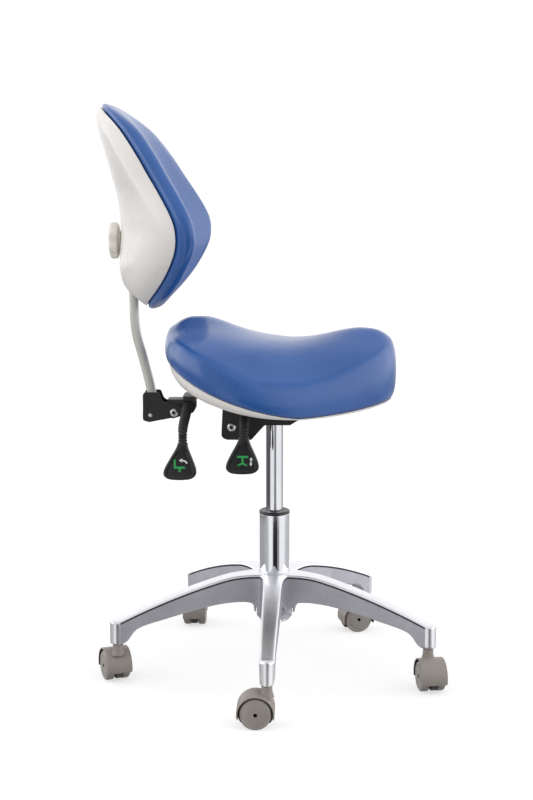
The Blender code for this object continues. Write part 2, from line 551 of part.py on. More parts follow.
def seat_top(x, y, reach):
    """The saddle's height: a crest line along the middle that falls away to the sides. reach is 0 at the middle and 1 at the edge."""
    return between(CREST, x) - between(DROOP, x) * abs(reach) ** 2.2 * min(1.0, abs(y) / 60.0 + 0.0)


def seat_ring(scale, height, around=26):
    ring = []
    for i in range(around):
        ex, ey = seat_edge(2 * math.pi * i / around)
        x, y = SEAT_MID_X + (ex - SEAT_MID_X) * scale, ey * scale
        ring.append((x, y, height(x, y, ex, ey)))
    return ring


def side_height(part):
    """Height of the side between the top's edge (part 1) and the lower edge (part 0)."""
    def height(x, y, ex, ey):
        low = skirt_low(ex)
        high = between(CREST, SEAT_MID_X + (ex - SEAT_MID_X) * 0.9) - between(DROOP, ex) * min(1.0, abs(ey) / 60.0) - 4.0
        return low + (high - low) * part
    return height


def cushion_mesh():
    rings = []
    for scale in (0.03, 0.4, 0.7, 0.88):
        rings.append(seat_ring(scale, lambda x, y, ex, ey, s=scale: seat_top(x, y, s)))
    for scale, part in ((0.97, 0.86), (1.0, 0.5), (0.985, 0.06), (0.965, 0.0), (0.915, 0.0)):
        rings.append(seat_ring(scale, side_height(part)))
    # inside of the skirt, then the flat underside over the board
    rings.append(seat_ring(0.905, lambda x, y, ex, ey: max(SEAT_UNDER, skirt_low(ex) + 3.0)))
    rings.append(seat_ring(0.80, lambda x, y, ex, ey: max(SEAT_UNDER, shell_low(ex) + 4.2)))
    rings.append(seat_ring(0.66, lambda x, y, ex, ey: SEAT_UNDER))
    rings.append(seat_ring(0.05, lambda x, y, ex, ey: SEAT_UNDER))
    return loft(rings)


put("seat_cushion", cushion_mesh(), BLUE, world=True, sharp=60)
board_outline = [(-14 + (x - SEAT_MID_X) * 0.60 + SEAT_MID_X, y * 0.60) for x, y in (seat_edge(2 * math.pi * i / 24) for i in range(24))]
put("seat_board", cut(plate(board_outline, BOARD_BOTTOM, BOARD_TOP), *[moved(turned([(0, 440), (3.2, 440), (3.2, 476), (0, 476)], 8), x, y) for x, y in screws]), PLY, world=True)


def shell_ring(angle):
    """The seat pan's wall at one place round the seat: from the edge of its centre opening, out under the seat and up to its rim."""
    ex, ey = seat_edge(angle)
    def at(scale):
        return SEAT_MID_X + (ex - SEAT_MID_X) * scale, ey * scale
    low, rim = shell_low(ex), skirt_low(ex) - 0.5
    # the pan's floor rises with the board's place, so the opening's edge is level
    ox, oy = at(0.62)
    ox, oy = -10 + (ox - SEAT_MID_X) * 0.98, oy * 0.98
    floor = 455.0 + 0.00055 * (ox - 40.0) ** 2
    outer = [(ox, oy, floor), (*at(0.80), max(low, floor - 0.5)), (*at(0.90), low + 0.6), (*at(0.955), max(low + 2.2, rim - 3.2)), (*at(0.968), rim)]
    inner = [(*at(0.945), rim), (*at(0.925), max(low + 3.9, rim - 0.9)), (*at(0.885), low + 3.4), (*at(0.79), max(low, floor - 0.5) + 2.6), (ox, oy, floor + 2.6)]
    return outer + inner


put("seat_pan", loft([shell_ring(2 * math.pi * i / 26) for i in range(26)], closed=True), IVORY, world=True, sharp=50)
screw = cut(turned([(0, 460.9), (4.9, 460.9), (5.6, 462.0), (5.6, 465.0), (2.6, 465.0), (2.6, 475.2), (0, 475.2)], 8), turned([(0, 455), (1.9, 455), (1.9, 463.2), (0, 463.2)], 6))
for k, (x, y) in enumerate(screws):
    put(f"seat_screw_{k + 1}", screw.copy(), STEEL, at=(x, y, 0.0))

# ---------------------------------------------------------------- backrest
BACK_LINE = [(600, -209), (617, -209), (650, -207.5), (700, -211), (735, -216.4), (750, -219), (800, -230), (850, -245), (900, -263), (927, -275), (945, -283)]
BACK_REAR = [(610, -218), (618, -225), (630, -236), (641, -247.6), (657, -254), (678, -255), (708, -251), (737, -248.6), (761, -250), (797, -255), (827, -262.6), (865, -273), (904, -283.6), (919, -286), (935, -289)]
BACK_WIDTH = [(-1.0, 0.0), (-0.97, 44.0), (-0.88, 84.0), (-0.74, 118.0), (-0.55, 152.0), (-0.35, 172.0), (-0.12, 180.0), (0.12, 177.0), (0.4, 158.0), (0.66, 128.0), (0.82, 99.0), (0.93, 66.0), (0.985, 34.0), (1.0, 0.0)]


def back_edge(angle, grow=0.0):
    """(y, z) on the backrest's outline: a shield, widest below the middle."""
    s = math.sin(angle)
    half = 160.0 if s > 0 else 155.0
    z = 772.0 + half * s
    w = between(BACK_WIDTH, s)
    y = math.copysign(w, math.cos(angle))
    if abs(math.cos(angle)) < 1e-9:
        y = 0.0
    if grow:
        away = Vector((y, z - 772.0))
        away = away.normalized() * grow
        y, z = y + away.x, z + away.y
    return y, z


def wrap(y, z):
    """x of the surface that the pad rests on: bowed along its height and wrapped round the sitter."""
    return between(BACK_LINE, z) + y * y / (2 * WRAP_R)


AROUND = 26


def back_angles():
    return [2 * math.pi * (i + 0.5) / AROUND for i in range(AROUND)]


def back_ring(scale, forward, grow=0.0):
    ring = []
    for a in back_angles():
        y, z = back_edge(a, grow)
        y, z = y * scale, 772.0 + (z - 772.0) * scale
        ring.append((wrap(y, z) + (forward(y, z) if callable(forward) else forward), y, z))
    return ring


def pad_mesh():
    rings = [back_ring(0.04, 0.8, 5.0), back_ring(0.5, 0.8, 5.0), back_ring(0.9, 0.8, 5.0), back_ring(0.975, 1.8, 6.0), back_ring(1.0, 9.0, 7.0), back_ring(1.0, 22.0, 7.0), back_ring(0.975, 33.0, 6.0), back_ring(0.92, 39.5, 5.0), back_ring(0.8, PAD, 4.0), back_ring(0.45, PAD + 1.0, 2.0), back_ring(0.04, PAD + 1.5, 0.0)]
    return loft(rings)


put("backrest_cushion", pad_mesh(), BLUE, world=True, at=(bx, 0, bz), sharp=60)
put("backrest_board", loft([back_ring(0.04, -0.2), back_ring(0.5, -0.2), back_ring(0.9, -0.2), back_ring(0.9, -6.0), back_ring(0.5, -6.0), back_ring(0.04, -6.0)]), PLY, world=True, at=(bx, 0, bz), sharp=60)


def rear(scale_at, wall):
    """How far the shell's skin stands behind the pad's surface, given how far out from the middle it is."""
    def forward(y, z):
        depth = between(BACK_LINE, z) - between(BACK_REAR, z)
        return -max((depth) * scale_at - wall, 0.6)
    return forward


shell = loft([back_ring(0.04, rear(1.0, 0.0)), back_ring(0.3, rear(1.0, 0.0)), back_ring(0.55, rear(0.98, 0.0)), back_ring(0.76, rear(0.92, 0.0)), back_ring(0.9, rear(0.76, 0.0)), back_ring(0.97, rear(0.46, 0.0)), back_ring(1.0, -1.2), back_ring(0.9, -1.0), back_ring(0.5, -1.0), back_ring(0.04, -1.0)])
hollow = loft([back_ring(0.03, rear(1.0, 2.5)), back_ring(0.3, rear(1.0, 2.5)), back_ring(0.55, rear(0.98, 2.5)), back_ring(0.76, rear(0.92, 2.5)), back_ring(0.88, rear(0.76, 2.5)), back_ring(0.945, rear(0.46, 1.5)), back_ring(0.962, 20.0), back_ring(0.5, 20.0), back_ring(0.03, 20.0)])
slot = box(-246.0, -220.0, -17.5, 17.5, 590.0, 652.0)
stud_hole = moved(turned([(0, -290), (4.9, -290), (4.9, -230), (0, -230)], 10, 0, "X"), 0, 0, KNOB_Z)
put("backrest_shell", cut(shell, hollow, slot, stud_hole), IVORY, world=True, at=(bx, 0, bz), sharp=50)
slider = cut(
    plate([(-244.4 , 660.0), (-223.6, 660.0), (-223.6, 732.0), (-244.4, 732.0)], -19.5, 19.5, "Y"),
    loft([[(arm_x(z) + u * 1.04, v * 1.03, z) for u, v in oval] for z in (640.0, 760.0)]),
    moved(turned([(0, -290), (4.9, -290), (4.9, -238), (0, -238)], 10, 0, "X"), 0, 0, KNOB_Z),
)
put("arm_slider", slider, STEEL, world=True, at=(bx, 0, bz))


def knob_mesh():
    """A seven-lobed hand knob turned about X, its flat front towards the shell."""
    lobes, count = 7, 28
    def ring(r, x, deep):
        out = []
        for i in range(count):
            a = 2 * math.pi * i / count
            q = r - deep * (0.5 - 0.5 * math.cos(lobes * a))
            out.append((x, q * math.cos(a), KNOB_Z + q * math.sin(a)))
        return out
    body = loft([ring(KNOB_R - 5.5, -268.2, 2.4), ring(KNOB_R, -264.5, 3.2), ring(KNOB_R, -256.0, 3.2), ring(KNOB_R - 2.6, -254.2, 2.6)])
    return cut(body, moved(turned([(0, -263), (4.6, -263), (4.6, -240), (0, -240)], 10, 0, "X"), 0, 0, KNOB_Z))


put("backrest_knob", knob_mesh(), BEIGE, world=True, at=(-254.0, 0, KNOB_Z), sharp=40)
put("knob_stud", moved(turned([(0, -262.6), (4.0, -262.6), (4.0, -242.3), (0, -242.3)], 10, 0, "X"), 0, 0, KNOB_Z), STEEL, world=True, at=(-254.0, 0, KNOB_Z))
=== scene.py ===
"""Looks of the dentist stool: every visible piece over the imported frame. Shapes are described in millimetres from the lift's axis."""

import math

import bmesh
import bpy
from mathutils import Matrix, Vector


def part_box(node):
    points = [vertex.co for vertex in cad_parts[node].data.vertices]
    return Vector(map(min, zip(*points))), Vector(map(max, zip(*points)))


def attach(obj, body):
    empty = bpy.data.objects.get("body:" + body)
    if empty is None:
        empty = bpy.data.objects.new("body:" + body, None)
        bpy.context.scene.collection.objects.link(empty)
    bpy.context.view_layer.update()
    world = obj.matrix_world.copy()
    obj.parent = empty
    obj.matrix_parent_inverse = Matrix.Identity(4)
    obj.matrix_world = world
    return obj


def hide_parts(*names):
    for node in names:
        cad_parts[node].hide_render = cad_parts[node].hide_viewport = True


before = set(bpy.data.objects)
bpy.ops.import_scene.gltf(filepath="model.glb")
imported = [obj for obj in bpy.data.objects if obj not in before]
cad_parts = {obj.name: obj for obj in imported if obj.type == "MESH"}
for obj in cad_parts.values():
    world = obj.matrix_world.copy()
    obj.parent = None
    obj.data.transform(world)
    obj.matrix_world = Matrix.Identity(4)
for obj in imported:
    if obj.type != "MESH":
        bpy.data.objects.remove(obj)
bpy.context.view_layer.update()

low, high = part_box("lift_outer_tube")
CX, CY = (low[0] + high[0]) * 500, (low[1] + high[1]) * 500  # the lift's axis in the row frame, mm
scene = bpy.context.scene

# ---------------------------------------------------------------- camera
camera = bpy.data.objects.new("camera", bpy.data.cameras.new("camera"))
scene.collection.objects.link(camera)
camera.location = ((56.9 + CX) / 1000, (-2369.4 + CY) / 1000, 0.835)
camera.rotation_euler = (math.radians(81.0), 0.0, math.radians(1.7))
camera.data.lens = 65.34
camera.data.sensor_width = 36.0
camera.data.clip_end = 60.0
scene.camera = camera

# ---------------------------------------------------------------- node materials


class Shade:
    """A material's node tree, with short calls for the nodes that most of them share."""

    def __init__(self, name):
        self.made = bpy.data.materials.new(name)
        self.made.use_nodes = True
        self.tree = self.made.node_tree
        self.main = self.tree.nodes["Principled BSDF"]
        coords = self.tree.nodes.new("ShaderNodeTexCoord")
        self.place = coords.outputs["Object"]

    def set(self, **values):
        for key, value in values.items():
            self.main.inputs[key.replace("_", " ")].default_value = value
        return self

    def link(self, a, b):
        self.tree.links.new(a, b)

    def stretched(self, x=1.0, y=1.0, z=1.0):
        node = self.tree.nodes.new("ShaderNodeMapping")
        node.inputs["Scale"].default_value = (x, y, z)
        self.link(self.place, node.inputs["Vector"])
        return node.outputs["Vector"]

    def noise(self, scale, detail=3.0, rough=0.5, source=None, warp=0.0):
        node = self.tree.nodes.new("ShaderNodeTexNoise")
        node.inputs["Scale"].default_value = scale
        node.inputs["Detail"].default_value = detail
        node.inputs["Roughness"].default_value = rough
        node.inputs["Distortion"].default_value = warp
        self.link(source or self.place, node.inputs["Vector"])
        return node.outputs["Fac"]

    def cells(self, scale, source=None, feature="F1"):
        node = self.tree.nodes.new("ShaderNodeTexVoronoi")
        node.feature = feature
        node.inputs["Scale"].default_value = scale
        self.link(source or self.place, node.inputs["Vector"])
        return node.outputs["Distance"]

    def ranged(self, value, low, high, start=0.3, end=0.7):
        node = self.tree.nodes.new("ShaderNodeMapRange")
        node.inputs["From Min"].default_value = start
        node.inputs["From Max"].default_value = end
        node.inputs["To Min"].default_value = low
        node.inputs["To Max"].default_value = high
        self.link(value, node.inputs["Value"])
        return node.outputs["Result"]

    def math(self, how, a, b):
        node = self.tree.nodes.new("ShaderNodeMath")
        node.operation = how
        for k, v in enumerate((a, b)):
            if isinstance(v, (int, float)):
                node.inputs[k].default_value = v
            else:
                self.link(v, node.inputs[k])
        return node.outputs["Value"]

    def mix(self, factor, a, b, how="MIX"):
        node = self.tree.nodes.new("ShaderNodeMix")
        node.data_type = "RGBA"
        node.blend_type = how
        if isinstance(factor, (int, float)):
            node.inputs["Factor"].default_value = factor
        else:
            self.link(factor, node.inputs["Factor"])
        for key, v in (("A", a), ("B", b)):
            socket = [i for i in node.inputs if i.name == key and i.type == "RGBA"][0]
            if isinstance(v, tuple):
                socket.default_value = (*v, 1.0)
            else:
                self.link(v, socket)
        return [o for o in node.outputs if o.type == "RGBA"][0]

    def bump(self, height, distance, strength=1.0, under=None):
        node = self.tree.nodes.new("ShaderNodeBump")
        node.inputs["Distance"].default_value = distance
        node.inputs["Strength"].default_value = strength
        self.link(height, node.inputs["Height"])
        if under:
            self.link(under, node.inputs["Normal"])
        return node.outputs["Normal"]

    def edges(self, low=0.5, high=0.58):
        node = self.tree.nodes.new("ShaderNodeNewGeometry")
        return self.ranged(node.outputs["Pointiness"], 0.0, 1.0, low, high)

    def finish(self, colour=None, roughness=None, normal=None):
        for key, v in (("Base Color", colour), ("Roughness", roughness), ("Normal", normal)):
            if v is not None:
                self.link(v, self.main.inputs[key])
        if colour is None or isinstance(colour, tuple):
            pass
        return self.made


def leather():
    """Smooth glossy upholstery leather: fine pebble, slow colour and gloss variation, a thin clear top coat."""
    s = Shade("upholstery_blue")
    s.set(Specular_IOR_Level=0.42, Coat_Weight=0.32, Coat_Roughness=0.12, Sheen_Weight=0.03, Sheen_Roughness=0.4)
    s.main.inputs["Sheen Tint"].default_value = (0.55, 0.65, 1.0, 1.0)
    slow = s.ranged(s.noise(9.0, 2.0), 0.0, 1.0)
    fine = s.ranged(s.noise(240.0, 4.0), 0.0, 1.0)
    tone = s.mix(slow, (0.020, 0.098, 0.345), (0.028, 0.120, 0.400))
    tone = s.mix(s.math("MULTIPLY", fine, 0.05), tone, (0.022, 0.086, 0.285))
    grain = s.math("ADD", s.math("MULTIPLY", s.cells(950.0, feature="SMOOTH_F1"), 0.7), s.math("MULTIPLY", s.noise(1500.0, 3.0), 0.5))
    soft = s.bump(s.noise(26.0, 2.0), 0.0012, 0.22)
    return s.finish(tone, s.ranged(s.math("ADD", s.math("MULTIPLY", slow, 0.5), s.math("MULTIPLY", fine, 0.5)), 0.24, 0.34, 0.0, 1.0), s.bump(grain, 0.00009, 0.16, soft))


def moulded(name, light, dark, rough=(0.28, 0.40), grain=700.0, depth=0.00008, coat=0.0, strength=0.35):
    """Moulded plastic: slow tone change, faint flow marks, fine spark-eroded grain and slightly paler worn edges."""
    s = Shade(name)
    s.set(Specular_IOR_Level=0.5, Coat_Weight=coat, Coat_Roughness=0.12)
    slow = s.ranged(s.noise(11.0, 3.0, warp=0.6), 0.0, 1.0)
    tone = s.mix(slow, dark, light)
    tone = s.mix(s.math("MULTIPLY", s.edges(0.54, 0.66), 0.18), tone, tuple(min(1.0, c * 1.18 + 0.01) for c in light))
    dust = s.ranged(s.noise(60.0, 5.0, 0.7), 0.0, 1.0, 0.45, 0.75)
    tone = s.mix(s.math("MULTIPLY", dust, 0.05), tone, tuple(c * 0.86 for c in dark))
    fine = s.math("ADD", s.math("MULTIPLY", s.noise(grain, 3.0), 0.6), s.math("MULTIPLY", s.cells(grain * 1.3), 0.5))
    return s.finish(tone, s.ranged(s.math("ADD", s.math("MULTIPLY", slow, 0.4), s.math("MULTIPLY", dust, 0.6)), rough[0], rough[1], 0.0, 1.0), s.bump(fine, depth, strength, s.bump(s.noise(18.0, 2.0), 0.0008, 0.10)))


def metal(name, light, dark, rough=(0.10, 0.22), tumble=0.0, brush=None, depth=0.00006, wave=0.12):
    """Bare metal: polished, cast or brushed, with uneven gloss and small marks."""
    s = Shade(name)
    s.set(Metallic=1.0)
    slow = s.ranged(s.noise(14.0, 3.0, warp=0.8), 0.0, 1.0)
    marks = s.ranged(s.noise(95.0, 6.0, 0.65), 0.0, 1.0, 0.35, 0.7)
    tone = s.mix(slow, dark, light)
    tone = s.mix(s.math("MULTIPLY", marks, 0.14), tone, tuple(c * 0.72 for c in dark))
    gloss = s.ranged(s.math("ADD", s.math("MULTIPLY", slow, 0.45), s.math("MULTIPLY", marks, 0.55)), rough[0], rough[1], 0.0, 1.0)
    fine = s.noise(brush[0], 4.0, source=s.stretched(*brush[1])) if brush else s.noise(620.0, 5.0, 0.6)
    if tumble:
        fine = s.math("ADD", s.math("MULTIPLY", fine, 0.6), s.math("MULTIPLY", s.cells(260.0), tumble))
    return s.finish(tone, gloss, s.bump(fine, depth, 0.5, s.bump(s.noise(30.0, 2.0), 0.0010, wave)))


def powder(name, light, dark, rough=(0.32, 0.46), grain=520.0, depth=0.00018, coat=0.0):
    """Powder coat: an even tone with orange peel and thin bright wear on the edges."""
    s = Shade(name)
    s.set(Coat_Weight=coat, Coat_Roughness=0.1)
    slow = s.ranged(s.noise(17.0, 3.0), 0.0, 1.0)
    tone = s.mix(slow, dark, light)
    tone = s.mix(s.math("MULTIPLY", s.edges(0.54, 0.66), 0.35), tone, tuple(min(1.0, c * 1.6 + 0.035) for c in light))
    return s.finish(tone, s.ranged(s.noise(45.0, 4.0), rough[0], rough[1]), s.bump(s.noise(grain, 3.0), depth, 0.3))


def rubber():
    s = Shade("ribbed_rubber")
    s.set(Specular_IOR_Level=0.45)
    slow = s.ranged(s.noise(60.0, 4.0), 0.0, 1.0)
    return s.finish(s.mix(slow, (0.006, 0.006, 0.007), (0.017, 0.017, 0.018)), s.ranged(slow, 0.42, 0.58, 0.0, 1.0), s.bump(s.noise(900.0, 3.0), 0.0001, 0.4))


def wood():
    s = Shade("birch_ply")
    rings = s.noise(30.0, 5.0, source=s.stretched(1.0, 0.12, 8.0), warp=1.5)
    return s.finish(s.mix(s.ranged(rings, 0.0, 1.0), (0.36, 0.22, 0.11), (0.58, 0.41, 0.24)), s.ranged(rings, 0.5, 0.7), s.bump(rings, 0.0003, 0.4))


BLUE = leather()
IVORY = moulded("shell_ivory", (0.90, 0.87, 0.835), (0.87, 0.84, 0.80), (0.26, 0.38), coat=0.15)
SLATE = moulded("castor_grey_nylon", (0.335, 0.300, 0.268), (0.285, 0.255, 0.228), (0.34, 0.48), grain=900.0)
TREAD = moulded("castor_grey_tread", (0.315, 0.285, 0.255), (0.265, 0.240, 0.215), (0.38, 0.52), grain=1100.0)
DISC = moulded("castor_grey_disc", (0.36, 0.328, 0.295), (0.31, 0.28, 0.252), (0.22, 0.34), grain=1300.0, coat=0.25)
BEIGE = moulded("knob_beige", (0.87, 0.835, 0.765), (0.82, 0.785, 0.71), (0.34, 0.46), grain=600.0)
# black satin plastic for the bush and paddles, also used as painted shade inside the castor hoods
BLACK_MOULD_AND_SHADE = moulded("black_satin_plastic_and_painted_shade", (0.017, 0.017, 0.019), (0.011, 0.011, 0.012), (0.26, 0.40), grain=800.0, strength=0.5)
CHROME = metal("chrome_plate", (0.86, 0.87, 0.90), (0.80, 0.81, 0.85), (0.030, 0.075), depth=0.00001, wave=0.012)
POLISHED = metal("aluminium_polished", (0.93, 0.93, 0.955), (0.86, 0.86, 0.895), (0.29, 0.40), depth=0.00004, wave=0.07)
CAST = metal("aluminium_cast", (0.56, 0.555, 0.60), (0.48, 0.475, 0.52), (0.50, 0.62), tumble=0.7, depth=0.00030, wave=0.30)
# near-black colour for the grooves under the leg and hub edges: painted shade, since the aluminium there is not dark
GROOVE_PAINTED_SHADE = moulded("aluminium_groove_painted_shade", (0.055, 0.055, 0.065), (0.035, 0.035, 0.042), (0.62, 0.80))
ZINC = metal("zinc_plated_steel", (0.70, 0.70, 0.70), (0.56, 0.56, 0.57), (0.22, 0.36), brush=(160.0, (1.0, 1.0, 9.0)))
# black powder coat for the case and brackets, also used as painted shade inside the bolt sockets
BLACK_PAINT_AND_SHADE = powder("black_powder_coat_and_painted_shade", (0.020, 0.020, 0.022), (0.012, 0.012, 0.014))
ARM_PAINT = powder("ivory_powder_coat", (0.66, 0.655, 0.60), (0.58, 0.575, 0.52), (0.16, 0.26), grain=380.0, depth=0.0001, coat=0.35)
RUBBER = rubber()
PLY = wood()
GREEN = moulded("mark_green", (0.03, 0.42, 0.10), (0.02, 0.34, 0.08), (0.35, 0.45))
WHITE = moulded("mark_white", (0.80, 0.82, 0.80), (0.72, 0.74, 0.72), (0.35, 0.45))

# ---------------------------------------------------------------- geometry helpers, mm from the lift's axis


def mesh_of(points, faces, marks=None, world=True):
    """A mesh in metres. marks gives the material of each face; world moves it from the lift's axis into the row frame."""
    ox, oy = (CX, CY) if world else (0.0, 0.0)
    mesh = bpy.data.meshes.new("shape")
    mesh.from_pydata([((x + ox) / 1000, (y + oy) / 1000, z / 1000) for x, y, z in points], [], faces)
    if marks:
        mesh.polygons.foreach_set("material_index", marks)
    shape = bmesh.new()
    shape.from_mesh(mesh)
    bmesh.ops.remove_doubles(shape, verts=shape.verts, dist=2e-6)
    bmesh.ops.recalc_face_normals(shape, faces=shape.faces)
    shape.to_mesh(mesh)
    shape.free()
    return mesh


def merged(*meshes):
    """Several meshes as one, each keeping its own faces' materials."""
    shape = bmesh.new()
    for mesh in meshes:
        shape.from_mesh(mesh)
    out = bpy.data.meshes.new("shape")
    shape.to_mesh(out)
    shape.free()
    return out


def turned(profile, count=64, at=(0.0, 0.0, 0.0), axis="Z", marks=None, world=True):
    """A surface of revolution about a line through at. marks gives a material for each step of the profile."""
    points, rows, faces, shown = [], [], [], []
    for r, h in profile:
        if r == 0:
            rows.append([len(points)])
            points.append((0.0, 0.0, h))
            continue
        rows.append(list(range(len(points), len(points) + count)))
        for i in range(count):
            a = 2 * math.pi * i / count
            points.append((r * math.cos(a), r * math.sin(a), h))
    pairs = list(zip(rows, rows[1:])) + ([(rows[-1], rows[0])] if profile[0][0] > 0 else [])
    for k, (a, b) in enumerate(pairs):
        for i in range(count):
            j = (i + 1) % count
            if len(a) == 1:
                faces.append((a[0], b[i], b[j]))
            elif len(b) == 1:
                faces.append((a[i], a[j], b[0]))
            else:
                faces.append((a[i], a[j], b[j], b[i]))
            shown.append(marks[k] if marks and k < len(marks) else 0)
    if axis == "Y":
        points = [(x, z, -y) for x, y, z in points]
    if axis == "X":
        points = [(z, x, y) for x, y, z in points]
    return mesh_of([(x + at[0], y + at[1], z + at[2]) for x, y, z in points], faces, shown, world)


def loft(rings, closed=False, caps=True, marks=None, world=True):
    n = len(rings[0])
    points = [p for ring in rings for p in ring]
    faces, shown = [], []
    for k in range(len(rings) if closed else len(rings) - 1):
        a, b = k * n, ((k + 1) % len(rings)) * n
        for i in range(n):
            j = (i + 1) % n
            faces.append((a + i, a + j, b + j, b + i))
            shown.append(marks(k, i) if marks else 0)
    if not closed and caps:
        faces += [tuple(range(n)), tuple(range((len(rings) - 1) * n, len(rings) * n))]
        shown += [marks(0, -1), marks(len(rings) - 2, -1)] if marks else [0, 0]
    return mesh_of(points, faces, shown, world)


def plate(outline, low, high, axis="Z", world=True):
    place = {"Z": lambda a, b, h: (a, b, h), "Y": lambda a, b, h: (a, h, b), "X": lambda a, b, h: (h, a, b)}[axis]
    return loft([[place(a, b, h) for a, b in outline] for h in (low, high)], world=world)


def rounded(corners, radius, steps=8):
    out = []
    n = len(corners)
    radii = [radius] * n if isinstance(radius, (int, float)) else radius
    for i, r in enumerate(radii):
        p, q, s = (Vector(corners[(i + k - 1) % n]) for k in range(3))
        u, v = (p - q).normalized(), (s - q).normalized()
        if r <= 0:
            out.append(tuple(q))
            continue
        half = u.angle(v) / 2
        reach = r / math.tan(half)
        centre = q + (u + v).normalized() * (r / math.sin(half))
        a, b = q + u * reach - centre, q + v * reach - centre
        turn = a.angle_signed(b)
        for k in range(steps + 1):
            t = -turn * k / steps
            out.append((centre.x + a.x * math.cos(t) - a.y * math.sin(t), centre.y + a.x * math.sin(t) + a.y * math.cos(t)))
    return out


def smooth_path(points, each=10):
    """A Catmull-Rom curve through the points, with this many steps to each span."""
    knots = [Vector(p) for p in points]
    knots = [knots[0] * 2 - knots[1]] + knots + [knots[-1] * 2 - knots[-2]]
    out = []
    for i in range(len(points) - 1):
        a, b, c, d = knots[i : i + 4]
        for k in range(each):
            t = k / each
            out.append(0.5 * (2 * b + (c - a) * t + (2 * a - 5 * b + 4 * c - d) * t * t + (3 * b - a - 3 * c + d) * t**3))
    out.append(Vector(points[-1]))
    return out


def curve(table):
    """A function through (x, value) pairs with no overshoot: a monotone cubic."""
    xs, ys = [p[0] for p in table], [p[1] for p in table]
    n = len(xs)
    d = [(ys[i + 1] - ys[i]) / (xs[i + 1] - xs[i]) for i in range(n - 1)]
    m = [d[0]] + [0.0 if d[i - 1] * d[i] <= 0 else 2 * d[i - 1] * d[i] / (d[i - 1] + d[i]) for i in range(1, n - 1)] + [d[-1]]

    def value(x):
        if x <= xs[0]:
            return ys[0]
        if x >= xs[-1]:
            return ys[-1]
        i = max(k for k in range(n - 1) if xs[k] <= x)
        h = xs[i + 1] - xs[i]
        t = (x - xs[i]) / h
        return (2 * t**3 - 3 * t**2 + 1) * ys[i] + (t**3 - 2 * t**2 + t) * h * m[i] + (3 * t**2 - 2 * t**3) * ys[i + 1] + (t**3 - t**2) * h * m[i + 1]

    return value


def step(low, high, x):
    t = min(1.0, max(0.0, (x - low) / (high - low)))
    return t * t * (3 - 2 * t)


def transformed(mesh, x=0.0, y=0.0, z=0.0, turn=0.0):
    """A mesh built about its own origin, turned about Z and set down at a point from the lift's axis."""
    out = mesh.copy()
    out.transform(Matrix.Translation(((x + CX) / 1000, (y + CY) / 1000, z / 1000)) @ Matrix.Rotation(math.radians(turn), 4, "Z"))
    return out


def piece(name, mesh, shades, body, replaces=(), sharp=38.0, bevel=0.0, segments=3, divide=0, limit=32.0):
    """A visible piece that rides on a body, with its bevel and subdivision as modifiers."""
    mesh.name = name
    made = bpy.data.objects.new(name, mesh)
    scene.collection.objects.link(made)
    shades = list(shades) if isinstance(shades, (list, tuple)) else [shades]
    which = [0] * len(mesh.polygons)
    mesh.polygons.foreach_get("material_index", which)
    mesh.materials.clear()
    for shade in shades:
        mesh.materials.append(shade)
    mesh.polygons.foreach_set("material_index", [min(k, len(shades) - 1) for k in which])
    mesh.shade_smooth()
    if sharp < 180:
        mesh.set_sharp_from_angle(angle=math.radians(sharp))
    if bevel:
        made_bevel = made.modifiers.new("edge", "BEVEL")
        made_bevel.width, made_bevel.segments, made_bevel.limit_method = bevel / 1000, segments, "ANGLE"
        made_bevel.angle_limit = math.radians(limit)
        made_bevel.harden_normals = True
    if divide:
        sub = made.modifiers.new("divide", "SUBSURF")
        sub.levels = sub.render_levels = divide
    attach(made, body)
    if replaces:
        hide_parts(*replaces)
    return made


def swept(path, ring, side=None):
    """Rings of (u, v) along a path, held steady from one point to the next."""
    rings, normal = [], Vector(side).normalized() if side else None
    for k, p in enumerate(path):
        along = (Vector(path[min(k + 1, len(path) - 1)]) - Vector(path[max(k - 1, 0)])).normalized()
        if normal is None:
            normal = along.cross(Vector((0, 0, 1))).normalized()
        normal = (normal - along * normal.dot(along)).normalized()
        other = along.cross(normal)
        shape = ring(k) if callable(ring) else ring
        rings.append([tuple(Vector(p) + normal * u + other * v) for u, v in shape])
    return rings


def circle(r, count=24):
    return [(r * math.cos(2 * math.pi * i / count), r * math.sin(2 * math.pi * i / count)) for i in range(count)]

# ---------------------------------------------------------------- star base
LEG_HALF = curve([(18, 29.0), (26, 25.0), (34, 21.2), (46, 18.2), (62, 16.4), (86, 15.3), (150, 14.2), (190, 13.2), (225, 12.4), (250, 12.0), (268, 12.0), (282, 12.0)])
LEG_FOOT = curve([(18, 97.0), (30, 103.0), (34, 109.0), (39, 116.5), (45, 120.6), (54, 122.6), (68, 123.2), (86, 122.6), (117, 119.0), (150, 112.5), (190, 103.2), (225, 94.6), (236, 90.0), (244, 83.0), (250, 74.5), (255, 69.4), (260, 67.0), (266, 66.5), (277, 66.5), (281.5, 67.2)])


def leg_top(r):
    level, fall = 169.5 - 0.02 * r, 176.5 - 70.5 * (min(r, 268.0) / 263.0) ** 1.6
    near = max(0.0, 1.0 - abs(level - fall) / 3.0)
    return min(level, fall) - 0.75 * near * near


